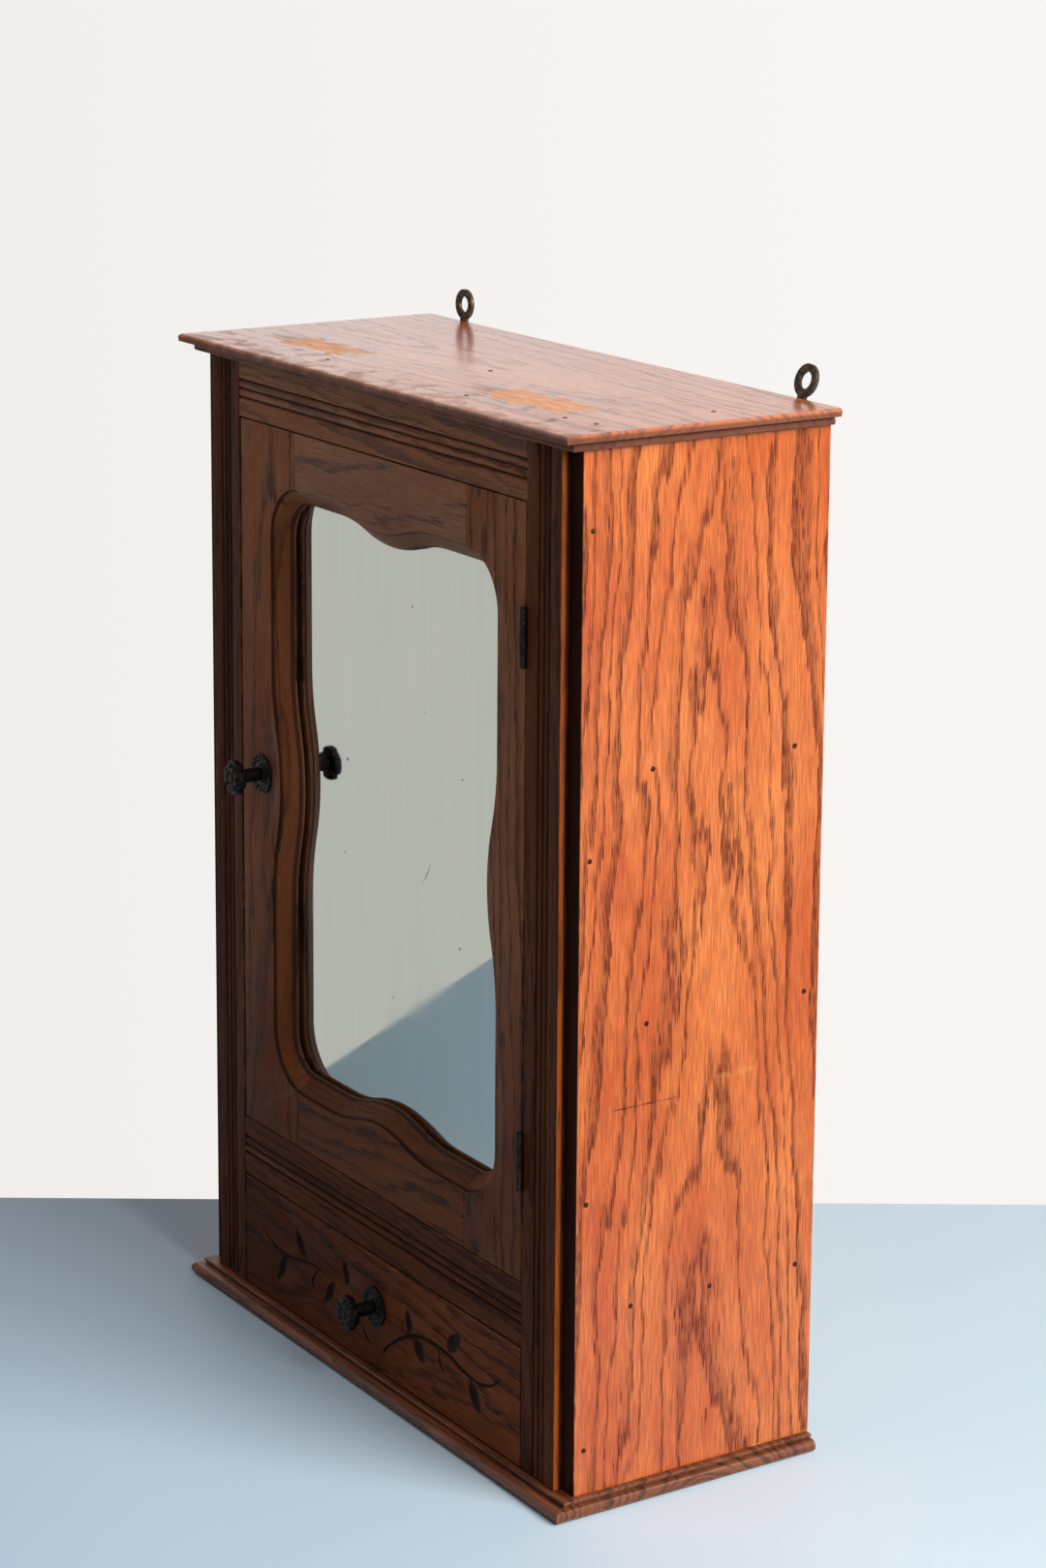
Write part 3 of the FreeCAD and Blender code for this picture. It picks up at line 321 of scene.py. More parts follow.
def new_object(name, data):
    """New object in the scene."""
    item = bpy.data.objects.new(name, data)
    bpy.context.scene.collection.objects.link(item)
    return item


def select_only(piece):
    bpy.ops.object.select_all(action="DESELECT")
    piece.select_set(True)
    bpy.context.view_layer.objects.active = piece


def finish_piece(piece, name, body, material, smooth=25):
    """Name a piece, fix its place in its mesh, and hand it to its body.

    Faces that meet at less than the smooth angle, in degrees, are shaded as one.
    """
    select_only(piece)
    bpy.ops.object.transform_apply(location=True, rotation=True, scale=True)
    bpy.ops.object.shade_smooth_by_angle(angle=math.radians(smooth))
    piece.name = name
    piece.data.name = name
    piece.data.materials.clear()
    piece.data.materials.append(material)
    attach(piece, body)


def node_body(node):
    return frame["nodes"][node]["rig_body"]


def node_copy(node):
    """Copy of a CAD node's mesh with its loose triangles joined into whole faces."""
    piece = new_object(node + "_copy", frame["nodes"][node].data.copy())
    select_only(piece)
    bpy.ops.object.mode_set(mode="EDIT")
    bpy.ops.mesh.select_all(action="SELECT")
    bpy.ops.mesh.remove_doubles(threshold=JOINED * MM)
    bpy.ops.mesh.dissolve_limited(angle_limit=FLAT)
    bpy.ops.object.mode_set(mode="OBJECT")
    return piece


def start_edit(piece, kind, chosen):
    """Start to edit a piece, with those of its edges or faces selected that the test picks."""
    select_only(piece)
    bpy.ops.object.mode_set(mode="EDIT")
    bpy.ops.mesh.select_mode(type=kind)
    bpy.ops.mesh.select_all(action="DESELECT")
    mesh = bmesh.from_edit_mesh(piece.data)
    for part in mesh.edges if kind == "EDGE" else mesh.faces:
        if chosen(part):
            part.select_set(True)
    mesh.select_flush_mode()
    bmesh.update_edit_mesh(piece.data)


def bevel_edges(piece, width, segments, chosen):
    """Bevel the outer edges of a piece that the test picks, by a width in mm."""
    start_edit(
        piece, "EDGE", lambda edge: len(edge.link_faces) == 2 and edge.is_convex and chosen(edge))
    bpy.ops.mesh.bevel(offset=width * MM, segments=segments, affect="EDGES", clamp_overlap=False)
    bpy.ops.object.mode_set(mode="OBJECT")


# An edge that turns by more than the larger angle is an arris, and one that turns by an angle
# between the two is an arris of the moulding's bevel. Arrises up to the shortest, in mm, stay sharp.
BEVEL_TURN, ARRIS_TURN = math.radians(40), math.radians(50)
SHORTEST = 1.5
# Widths in mm by which the moulding's arrises are rounded, and by which arrises are eased: on oak, on
# deal, on the drawer front, on the latch and nuts, and on the hanging plates
MOULDING_ROUND = 1.7
OAK_EASE, DEAL_EASE, DRAWER_EASE, LATCH_EASE, PLATE_EASE = 0.6, 0.4, 0.7, 0.25, 0.3


def ease_arrises(piece, width):
    """Round the arrises of a piece by a width in mm."""
    bevel_edges(
        piece, width, 2,
        lambda edge: edge.calc_length() > SHORTEST * MM and edge.calc_face_angle() > ARRIS_TURN)


def round_moulding(piece):
    """Round both arrises of the bevel that runs round the mirror opening."""
    bevel_edges(piece, MOULDING_ROUND, 3, lambda edge: BEVEL_TURN < edge.calc_face_angle() < ARRIS_TURN)


def eased(node, material, width):
    """Copy of a CAD piece with eased arrises, which stands for its node."""
    piece = node_copy(node)
    if node in MOULDED:
        round_moulding(piece)
    ease_arrises(piece, width)
    finish_piece(piece, node + "_eased", node_body(node), material)
    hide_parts(node)


def cut_away(piece, cutter):
    """Take the cutter's shape out of a piece, and remove the cutter."""
    select_only(piece)
    cutting = piece.modifiers.new("cut", "BOOLEAN")
    cutting.operation = "DIFFERENCE"
    cutting.solver = "EXACT"
    cutting.object = cutter
    bpy.ops.object.modifier_apply(modifier=cutting.name)
    bpy.data.objects.remove(cutter)


# Boards

# Oak boards: node, look, axes across, through and along the grain, heart, ring and lean
OAK_BOARDS = [
    ("right_side", OAK, "YXZ", (14, 158), 8.6, 0.055),
    ("left_side", OAK, "YXZ", (-10, -158), 8.6, 0.055),
    ("top_board", TOP_OAK, "YZX", (10, 562), 6.0, 0.04),
    ("base_board", BASE_OAK, "YZX", (10, -30), 5.0, 0.03),
    ("left_pilaster", DARK_OAK, "XYZ", (-150, -20), 4.6, 0.02),
    ("right_pilaster", DARK_OAK, "XYZ", (140, -10), 4.6, 0.02),
    ("top_rail", dict(FRONT_OAK, pores=0.6, shine=0.18), "ZYX", (540, -30), 4.6, 0.03),
    ("middle_rail", DARK_OAK, "ZYX", (60, -40), 4.6, 0.03),
    ("door_latch_stile", dict(FRONT_OAK, shine=0.14), "XYZ", (-120, -40), 8.0, 0.03),
    ("door_hinge_stile", FRONT_OAK, "XYZ", (100, -30), 8.0, 0.03),
    ("door_top_rail", dict(FRONT_OAK, shine=0.25), "ZYX", (470, -60), 20.0, -0.15),
    ("door_bottom_rail", FRONT_OAK, "ZYX", (170, -45), 8.0, 0.04),
]
# Deal boards: node, axes, heart and ring
DEAL_BOARDS = [
    ("back_board_left", "XYZ", (-120, 60), 5.0),
    ("back_board_middle", "XYZ", (20, 50), 6.0),
    ("back_board_right", "XYZ", (110, 60), 5.0),
    ("cupboard_floor", "YZX", (0, 90), 6.0),
    ("lower_shelf", "YZX", (20, 250), 6.0),
    ("upper_shelf", "YZX", (-10, 390), 6.0),
    ("drawer_guide_left", "XZY", (-190, 0), 4.0),
    ("drawer_guide_right", "XZY", (190, 0), 4.0),
    ("drawer_kicker_left", "XZY", (-170, 60), 5.0),
    ("drawer_kicker_right", "XZY", (170, 60), 5.0),
    ("door_stop", "ZYX", (550, -40), 4.0),
    ("drawer_side_left", "ZXY", (30, -130), 5.0),
    ("drawer_side_right", "ZXY", (50, 130), 5.0),
    ("drawer_back", "ZYX", (40, 60), 5.0),
    ("drawer_bottom", "YZX", (0, 0), 7.0),
    ("mirror_back_board", "XYZ", (0, -30), 7.0),
]
# Boards that the moulding of the door runs through, and boards with a double reed
MOULDED = ("door_latch_stile", "door_hinge_stile", "door_top_rail", "door_bottom_rail")
REEDED = ("left_pilaster", "right_pilaster", "top_rail", "middle_rail")
# Half the width of a double reed in mm, and the painted shade and dirt in its quirks: depths in mm where
# it starts and is full, colour and share
REED_HALF = 6.6
REED_SHADE_AND_DIRT = (0.45, 1.5, "140A07", 0.9)
# Outer face of a pilaster, painted light in a strip at its front and painted shadow behind it, where the
# side shades it: depths in mm where the painted light starts and is full, places in mm behind the front
# between which the lit strip ends, and the colours high and low in that strip and behind it
OUTER_SKIN, LIT_STRIP_END = (0.5, 0.1), (2.4, 3.6)
LIT_HIGH, LIT_LOW, SHADOW_BEHIND = "B05729", "C0601E", "1C0B06"
# Heights in mm between which the strip changes colour, how far blotches shift them in mm, and sizes in
# mm of the blotches and of the streaks that break the strip
OUTER_HEIGHTS, OUTER_SHIFT, OUTER_BLOTCH, OUTER_STREAKS = (150, 600), 350, 22.2, (2, 2, 20)
# Painted shade on the front edge of a side, behind the pilaster, and a darker moulded edge on the top below
# its upper arris: places in mm from the face where it starts to thin out and where it ends, colour and share
SIDE_EDGE_SHADE = (0.1, 0.7, "160602", 0.97)
TOP_EDGE_DARK = (-2.2, -0.6, "5E3220", 0.8)
# Opening that shows the glass, and how far outside it the moulding reaches, in mm
SIGHT = (Vector((-111, -500, 163.5)), Vector((119, 500, 513.3)))
MOULDING_REACH = 12
# Bands of the moulding by their depth behind the front in mm: start, end, colour and share. The dark bands,
# in the quirk outside it and along the glass, are painted shade with dirt; the band on its face is painted
# light, brighter on the stiles than on the rails
MOULDING_SHADE_AND_DIRT = [(0.4, 2.1, "0E0705", 0.85), (8.6, 11, "0E0705", 0.8)]
MOULDING_FACE_LIGHT = {"stile": (2.6, 8.6, "7A4012", 0.5), "rail": (2.6, 8.6, "5A3620", 0.5)}
# Half the widths in mm over which such a band starts and ends
SOFT_IN, SOFT_OUT = 0.2, 0.4
# Marks on the right side: middle and half lengths in mm, colour and share
SIDE_MARKS = [
    ((203, -27, 228), (30, 27, 0.8), "3E1508", 0.8), ((203, 33, 235), (30, 17, 2.2), "E89A5C", 0.2)]
# Size of the gaps in those marks in mm
MARK_GAPS = 6.25
# Painted shade at the door's foot: colour to multiply by, and heights in mm where it is full and ends
FOOT_SHADE, FOOT_HEIGHTS = "BCAEA2", (120, 360)
# Heights in mm between which the coat of a side falls from double to single
GLOSS_HEIGHTS = (60, 260)
# Wear of the top, with sizes in mm. Grime along the front edge: colour, how far in it reaches at most,
# and the width over which it thins out
GRIME, GRIME_REACH, GRIME_FADE = "4A2513", 45, 20
# Stain: colour, how far left of a patch its middle lies, and its spread
STAIN, STAIN_ASIDE, STAIN_SPREAD = "3A1B0D", 6, (25, 10.5, 0)
# Bare wood: its two tones, and the size of its streaks
BARE_DARK, BARE_PALE, BARE_STREAKS = "D28558", "FFCDAA", (20, 1.43, 0)
# Blotches that make the grime, the scuffs and the stain uneven
TOP_BLOTCH = 13.3
# Patches where the finish has come off, from their low to their high corners in mm
BARE_PATCHES = [((-157, -52), (-87, -27)), ((68, -55), (150, -25))]
# Rags at their ends and along their edges: size, swing and shift in mm
RAGS = [((38.5, 3.03, 0), 50, -24), ((14.3, 14.3, 0), 24, -12)]
# Distances outside a patch in mm where its bare wood and the scuffs round it are full and end
BARE_EDGE, SCUFF_EDGE = (-1, 0.5), (2, 18)


def darken_reeds(material, axis, middle):
    """Painted shade, with old polish and dirt, in the quirks of a double reed that runs down the middle."""
    tree, shader, _, sides = open_paint(material)
    start, full, colour, share = REED_SHADE_AND_DIRT
    deep = add(tree, "MapRange", [sides["Y"], FRONT + start * MM, FRONT + full * MM, 0, share])
    aside = add(tree, "Math.SUBTRACT", [sides[axis], middle])
    aside = add(tree, "Math.ABSOLUTE", [aside])
    inside = add(tree, "Math.LESS_THAN", [aside, REED_HALF * MM])
    shade_and_dirt = add(tree, "Math.MULTIPLY", [deep, inside])
    lay_over(tree, shader, shade_and_dirt, linear(colour))


def light_and_shade_outer_face(material, box, hand):
    """Painted light on the front strip of a pilaster's outer face and its rubbed arris, painted shadow
    behind.
    """
    tree, shader, place, sides = open_paint(material)
    outer = box[1].x if hand > 0 else box[0].x
    start, full = (outer - hand * depth * MM for depth in OUTER_SKIN)
    within = add(tree, "MapRange", [sides["X"], start, full, 0, 0.8])
    start, end = LIT_STRIP_END
    behind = add(tree, "MapRange", [sides["Y"], FRONT + start * MM, FRONT + end * MM])
    patchy = add(tree, "TexNoise", {"Vector": place, "Scale": 1 / (OUTER_BLOTCH * MM), "Detail": 5})
    height = add(tree, "Math.MULTIPLY_ADD", [patchy, OUTER_SHIFT * MM, sides["Z"]])
    full, end = OUTER_HEIGHTS
    low = add(tree, "MapRange", [height, full * MM, end * MM, 1, 0])
    # The strip's colours are painted light, and the colour behind it is painted shadow
    rubbed = add(tree, "Mix", {0: low, 6: linear(LIT_HIGH), 7: linear(LIT_LOW)}, **COLOURS)
    colour = add(tree, "Mix", {0: behind, 6: rubbed, 7: linear(SHADOW_BEHIND)}, **COLOURS)
    streaks = add(tree, "VectorMath.MULTIPLY", [place, waves(*OUTER_STREAKS)])
    streaks = add(tree, "TexNoise", {"Vector": streaks, "Scale": 1, "Detail": 3})
    broken = add(tree, "MapRange", [streaks, 0.38, 0.52, 0.45, 1])
    share = add(tree, "Math.MULTIPLY", [within, broken])
    lay_over(tree, shader, share, colour)


def darken_edge(material, axis, face, shade_and_dirt):
    """Darken an edge and dull it: painted shade on a side's front edge, a darker moulding on the top."""
    tree, shader, _, sides = open_paint(material)
    start, end, colour, share = shade_and_dirt
    edge = add(tree, "MapRange", [sides[axis], face + start * MM, face + end * MM, share, 0])
    lay_over(tree, shader, edge, linear(colour))
    dull_where(tree, shader, edge)


def shade_moulding(material, kind):
    """Painted shade and dirt at the moulding's outer step and along the glass, painted light on its face."""
    tree, shader, place, sides = open_paint(material)
    low, high = (corner * MM for corner in SIGHT)
    middle = add(tree, "VectorMath.SUBTRACT", [place, (low + high) / 2])
    middle = add(tree, "VectorMath.ABSOLUTE", [middle])
    beyond = add(tree, "VectorMath.SUBTRACT", [middle, (high - low) / 2])
    beyond = add(tree, "SeparateXYZ", [beyond]).node.outputs
    beyond = add(tree, "Math.MAXIMUM", [beyond["X"], beyond["Z"]])
    near = add(tree, "Math.LESS_THAN", [beyond, MOULDING_REACH * MM])
    depth = add(tree, "Math.SUBTRACT", [sides["Y"], DOOR_BOX[0].y])
    # Dark bands are painted shade with dirt, the face band painted light
    for start, end, colour, share in (*MOULDING_SHADE_AND_DIRT, MOULDING_FACE_LIGHT[kind]):
        after = add(tree, "MapRange", [depth, (start - SOFT_IN) * MM, (start + SOFT_IN) * MM, 0, share])
        before = add(tree, "MapRange", [depth, (end - SOFT_OUT) * MM, (end + SOFT_OUT) * MM, 1, 0])
        band = add(tree, "Math.MULTIPLY", [after, before])
        band = add(tree, "Math.MULTIPLY", [band, near])
        lay_over(tree, shader, band, linear(colour))


def darken_low(material):
    """Painted shade, darker towards the foot of the door."""
    tree, shader, _, sides = open_paint(material)
    full, end = FOOT_HEIGHTS
    low = add(tree, "MapRange", [sides["Z"], full * MM, end * MM, 1, 0], interpolation_type="SMOOTHSTEP")
    lay_over(tree, shader, low, linear(FOOT_SHADE), blend="MULTIPLY")


def polish_low(material):
    """The polish has kept its gloss low on the side."""
    tree, shader, _, sides = open_paint(material)
    full, end = GLOSS_HEIGHTS
    gain = add(tree, "MapRange", [sides["Z"], full * MM, end * MM, 2, 1], interpolation_type="SMOOTHSTEP")
    scale_coat(tree, shader, gain)


def mark_side(material):
    """A scratch and a lighter smear across the grain of the right side."""
    tree, shader, place, _ = open_paint(material)
    patchy = add(tree, "TexNoise", {"Vector": place, "Scale": 1 / (MARK_GAPS * MM), "Detail": 3})
    patchy = add(tree, "MapRange", [patchy, 0.35, 0.55])
    for middle, half, colour, share in SIDE_MARKS:
        away = add(tree, "VectorMath.SUBTRACT", [place, [c * MM for c in middle]])
        away = add(tree, "VectorMath.MULTIPLY", [away, waves(*half)])
        away = add(tree, "VectorMath.LENGTH", [away], out="Value")
        mark = add(tree, "MapRange", [away, 0.7, 1, share, 0])
        mark = add(tree, "Math.MULTIPLY", [mark, patchy])
        lay_over(tree, shader, mark, linear(colour))


def bare_patch(tree, shader, place, corners, ragged, blotch, bare_wood):
    """Bare, dry wood in a patch, with dark scuffs round it and a stain at its left end."""
    low, high = corners
    middle = [(a + b) / 2 * MM for a, b in zip(low, high)]
    half = [(b - a) / 2 * MM for a, b in zip(low, high)]
    away = add(tree, "VectorMath.SUBTRACT", [place, (*middle, TOP)])
    away = add(tree, "VectorMath.ABSOLUTE", [away])
    away = add(tree, "VectorMath.SUBTRACT", [away, (*half, 1)])
    away = add(tree, "VectorMath.ADD", [away, ragged])
    sides = add(tree, "SeparateXYZ", [away]).node.outputs
    outside = add(tree, "Math.MAXIMUM", [sides["X"], sides["Y"]])
    full, end = SCUFF_EDGE
    near = add(tree, "MapRange", [outside, full * MM, end * MM, 1, 0])
    scuff = add(tree, "MapRange", [blotch, 0.46, 0.6])
    scuff = add(tree, "Math.MULTIPLY", [near, scuff])
    lay_over(tree, shader, scuff, linear(GRIME))

    left_end = ((low[0] - STAIN_ASIDE) * MM, middle[1], TOP)
    stain = add(tree, "VectorMath.SUBTRACT", [place, left_end])
    stain = add(tree, "VectorMath.MULTIPLY", [stain, waves(*STAIN_SPREAD)])
    stain = add(tree, "VectorMath.LENGTH", [stain], out="Value")
    stain = add(tree, "Math.ADD", [stain, blotch])
    stain = add(tree, "MapRange", [stain, 0.6, 1.4, 0.5, 0])
    lay_over(tree, shader, stain, linear(STAIN))
    dull_where(tree, shader, stain)

    full, end = BARE_EDGE
    bare = add(tree, "MapRange", [outside, full * MM, end * MM, 0.95, 0])
    lay_over(tree, shader, bare, bare_wood)
    dull_where(tree, shader, bare)


def wear_top(material):
    """The top's polish is thin and dirty along the front edge, and gone in two ragged patches."""
    tree, shader, place, sides = open_paint(material)
    blotch = add(tree, "TexNoise", {"Vector": place, "Scale": 1 / (TOP_BLOTCH * MM), "Detail": 5})
    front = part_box("top_board")[0].y
    reach = add(tree, "MapRange", [blotch, 0.4, 0.65, front, front + GRIME_REACH * MM])
    thin = add(tree, "Math.SUBTRACT", [reach, sides["Y"]])
    thin = add(tree, "MapRange", [thin, 0, GRIME_FADE * MM, 0, 0.45])
    lay_over(tree, shader, thin, linear(GRIME))
    dull_where(tree, shader, thin)

    rags = []
    for size, swing, shift in RAGS:
        rag = add(tree, "VectorMath.MULTIPLY", [place, waves(*size)])
        rag = add(tree, "TexNoise", {"Vector": rag, "Scale": 1, "Detail": 4})
        rags.append(add(tree, "Math.MULTIPLY_ADD", [rag, swing * MM, shift * MM]))
    ragged = add(tree, "CombineXYZ", rags)
    streaks = add(tree, "VectorMath.MULTIPLY", [place, waves(*BARE_STREAKS)])
    streaks = add(tree, "TexNoise", {"Vector": streaks, "Scale": 1, "Detail": 4})
    streaks = add(tree, "MapRange", [streaks, 0.35, 0.65])
    bare_wood = add(tree, "Mix", {0: streaks, 6: linear(BARE_DARK), 7: linear(BARE_PALE)}, **COLOURS)
    for corners in BARE_PATCHES:
        bare_patch(tree, shader, place, corners, ragged, blotch, bare_wood)


def make_boards():
    for node, look, axes, heart, ring, lean in OAK_BOARDS:
        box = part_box(node)
        finish = timber(f"shellacked oak, {node.replace('_', ' ')}", look, box, axes, heart, ring, lean)
        if node in REEDED:
            middle = (box[0] + box[1]) / 2
            # Painted shade and dirt in the quirks of the reeds
            darken_reeds(finish, axes[0], middle["XYZ".index(axes[0])])
            if node.endswith("pilaster"):
                # Painted light and shadow on the pilaster's outer face
                light_and_shade_outer_face(finish, box, 1 if node.startswith("right") else -1)
        elif node.endswith("_side"):
            # Painted shade on the side's front edge, behind the pilaster
            darken_edge(finish, "Y", box[0].y, SIDE_EDGE_SHADE)
            polish_low(finish)
            if node.startswith("right"):
                mark_side(finish)
        elif node in MOULDED:
            darken_low(finish)
            shade_moulding(finish, node.split("_")[-1])
        elif node == "top_board":
            darken_edge(finish, "Z", TOP, TOP_EDGE_DARK)
            wear_top(finish)
        eased(node, finish, OAK_EASE)
    for node, axes, heart, ring in DEAL_BOARDS:
        finish = timber(f"bare deal, {node.replace('_', ' ')}", DEAL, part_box(node), axes, heart, ring)
        eased(node, finish, DEAL_EASE)


# Drawer front with its incised sprig

# Half width and depth of the gouges, in mm
STEM, LEAF, BROAD = (1.4, 1.2), (4.3, 1.8), (6.0, 1.9)
# Strokes: gouge, and points across and up the front in mm
SPRIG = [
    (STEM, [(-140, 55), (-128, 49), (-117, 45.7), (-105, 45), (-90, 47), (-77, 50), (-62, 50.7), (-46, 48)]),
    (LEAF, [(-103.7, 45), (-109, 40), (-112, 32), (-118.7, 23.7)]),
    (LEAF, [(-78.7, 50.5), (-87, 54), (-90, 61), (-95, 67.5)]),
    (STEM, [(-66, 50), (-73, 43), (-75, 37), (-70, 35)]),
    (LEAF, [(-46, 49), (-52, 43), (-54, 37), (-61, 29.5)]),
    (LEAF, [(-33.7, 50), (-32, 56), (-36, 61), (-36, 67)]),
    (STEM, [(-17.5, 35), (-13, 30), (-8, 25), (-5, 23.7)]),
    (STEM, [(12.5, 20), (9, 23), (10, 26), (17.5, 32.5), (30, 41), (42.5, 47.5), (60, 50.7), (80, 50),
            (95, 46.2), (107.5, 44.2), (117.5, 44.5), (127.5, 47.5), (135, 53.7), (140, 57.5)]),
    (STEM, [(31, 42), (31, 48), (29, 54)]),
    (LEAF, [(36, 45), (39, 51), (36, 56), (37, 62)]),
    (BROAD, [(44, 47), (48, 42), (51, 38), (56, 34)]),
    (STEM, [(70, 50), (71.5, 44), (74, 38), (79, 38)]),
    (BROAD, [(79, 51), (84, 56), (88, 60), (96, 67)]),
    (BROAD, [(104, 44), (107, 38), (111, 32), (116, 25)]),
]
# Depth of a gouge at both of its ends, in mm
RUN_OUT = 0.1
# Spot beside the knob where the polish is worn, at x and z in mm, and its colour
WORN_SPOT, WORN_TONE = (20, 59), "8A5230"
# Distances from its middle in mm where it is full and ends, how far blotches shift them in mm, and the
# size of the blotches in mm
WORN_REACH, WORN_SHIFT, WORN_BLOTCH = (10, 20), 14, 11.1
# Painted shade on the left: x in mm where it is full and where it ends, and its colour
LEFT_SHADE_SPAN, LEFT_SHADE_TONE = (-150, 20), "241007"
# Painted shade and dirt in the gouges: depths in mm where it starts and is full, the depth that only
# gouges lie above, and its colour
GOUGE_SHADE_AND_DIRT, GOUGE_FLOOR, GOUGE_TONE = (0.1, 0.6), 2.1, "180D09"


def gouge(points, half_width, depth):
    """Round cutter that follows a stroke and runs out at both of its ends."""
    radius = (half_width ** 2 + depth ** 2) / (2 * depth)
    tip = 1 - (depth - RUN_OUT) / radius
    curve = bpy.data.curves.new("gouge", "CURVE")
    curve.dimensions = "3D"
    curve.bevel_depth = radius * MM
    curve.bevel_resolution = 6
    curve.use_fill_caps = True
    stroke = curve.splines.new("NURBS")
    stroke.points.add(len(points) - 1)
    for i, (x, z) in enumerate(points):
        along = i / (len(points) - 1)
        stroke.points[i].co = (x * MM, FRONT - (radius - depth) * MM, z * MM, 1)
        stroke.points[i].radius = tip + (1 - tip) * math.sin(math.pi * along) ** 0.5
    stroke.order_u = 3
    stroke.use_endpoint_u = True
    stroke.resolution_u = 6
    select_only(new_object("gouge", curve))
    bpy.ops.object.convert(target="MESH")
    return bpy.context.object


def age_drawer_front(material):
    """The front is worn beside the knob, with painted shade on its left and painted shade and dirt in its
    gouges.
    """
    tree, shader, place, sides = open_paint(material)
    spot = (WORN_SPOT[0] * MM, FRONT, WORN_SPOT[1] * MM)
    worn = add(tree, "VectorMath.DISTANCE", [place, spot], out="Value")
    blotch = add(tree, "TexNoise", {"Vector": place, "Scale": 1 / (WORN_BLOTCH * MM), "Detail": 4})
    worn = add(tree, "Math.MULTIPLY_ADD", [blotch, WORN_SHIFT * MM, worn])
    full, end = WORN_REACH
    worn = add(tree, "MapRange", [worn, full * MM, end * MM, 0.6, 0])
    lay_over(tree, shader, worn, linear(WORN_TONE))
    full, end = LEFT_SHADE_SPAN
    left_shade = add(tree, "MapRange", [sides["X"], full * MM, end * MM, 0.5, 0])
    lay_over(tree, shader, left_shade, linear(LEFT_SHADE_TONE))
    start, full = GOUGE_SHADE_AND_DIRT
    # Painted shade and dirt in the gouges
    sunk = add(tree, "MapRange", [sides["Y"], FRONT + start * MM, FRONT + full * MM, 0, 0.95])
    shallow = add(tree, "Math.LESS_THAN", [sides["Y"], FRONT + GOUGE_FLOOR * MM])
    shade_and_dirt = add(tree, "Math.MULTIPLY", [sunk, shallow])
    lay_over(tree, shader, shade_and_dirt, linear(GOUGE_TONE))


def make_drawer_front():
    piece = node_copy("drawer_front")
    ease_arrises(piece, DRAWER_EASE)
    for (half_width, depth), points in SPRIG:
        cut_away(piece, gouge(points, half_width, depth))
    finish = timber(
        "shellacked oak, carved drawer front", DRAWER_OAK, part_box("drawer_front"), "ZYX", (30, -60),
        9.0, 0.05)
    age_drawer_front(finish)
    finish_piece(piece, "drawer_front_carved", "drawer", finish)
    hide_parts("drawer_front")


# Mirror

# The silver is the sunk face of the plate, as deep as it looks through the glass, in a rim, in mm
SILVER_DEPTH, SILVER_RIM = 1.8, 2
# Tones of the silver's streaks, and of the specks and the scratch in it
SILVER_DARK, SILVER_PALE, FLAW_TONE = "CDD5D0", "D9DFD8", "62645E"
# Sizes of the streaks and of the haze in mm
STREAK_SIZE, HAZE_SIZE = (16.7, 0, 167), 71.4
# Specks in the silver: distance apart in mm, and radius of the largest as a share of that
SPECKS_APART, SPECK_SHARE = 18, 0.07
# Scratch: its middle and half width in mm, its lean, its bow per mm, and how fast it narrows
SCRATCH_MIDDLE = (34.2, 0, 320)
SCRATCH_WIDTH, SCRATCH_LEAN, SCRATCH_BOW, SCRATCH_TAPER = 0.42, 0.69, 0.031, 0.05


def mirror_scratch(tree, place):
    """Mask of a short bowed scratch that runs out at both of its ends."""
    away = add(tree, "VectorMath.SUBTRACT", [place, [c * MM for c in SCRATCH_MIDDLE]])
    away = add(tree, "SeparateXYZ", [away]).node.outputs
    bow = add(tree, "Math.MULTIPLY", [away["Z"], away["Z"]])
    across = add(tree, "Math.MULTIPLY_ADD", [bow, SCRATCH_BOW / MM, away["X"]])
    across = add(tree, "Math.MULTIPLY_ADD", [away["Z"], -SCRATCH_LEAN, across])
    across = add(tree, "Math.ABSOLUTE", [across])
    along = add(tree, "Math.ABSOLUTE", [away["Z"]])
    along = add(tree, "Math.MULTIPLY_ADD", [along, SCRATCH_TAPER, across])
    return add(tree, "Math.LESS_THAN", [along, SCRATCH_WIDTH * MM])


def mirror_finish():
    """Silvered glass: a cold reflection with a little grey haze, faint streaks and a few specks."""
    material = new_material("silvered mirror glass", Metallic=1.0)
    tree, shader, place, _ = open_paint(material)
    haze = add(tree, "TexNoise", {"Vector": place, "Scale": 1 / (HAZE_SIZE * MM), "Detail": 5})
    rough = add(tree, "MapRange", [haze, 0.4, 0.75, 0.02, 0.09])
    specks = add(tree, "TexVoronoi", {"Vector": place, "Scale": 1 / (SPECKS_APART * MM)}).node.outputs
    chosen = add(tree, "SeparateColor", [specks["Color"]])
    size = add(tree, "MapRange", [chosen, 0.55, 1, 0, SPECK_SHARE])
    flaw = add(tree, "Math.LESS_THAN", [specks["Distance"], size])
    flaw = add(tree, "Math.MAXIMUM", [flaw, mirror_scratch(tree, place)])
    streaks = add(tree, "VectorMath.MULTIPLY", [place, waves(*STREAK_SIZE)])
    streaks = add(tree, "TexNoise", {"Vector": streaks, "Scale": 1, "Detail": 3})
    silver = add(tree, "Mix", {0: streaks, 6: linear(SILVER_DARK), 7: linear(SILVER_PALE)}, **COLOURS)
    wire(tree, shader, Base_Color=silver)
    lay_over(tree, shader, flaw, linear(FLAW_TONE))
    wire(tree, shader, Roughness=rough)
    return material


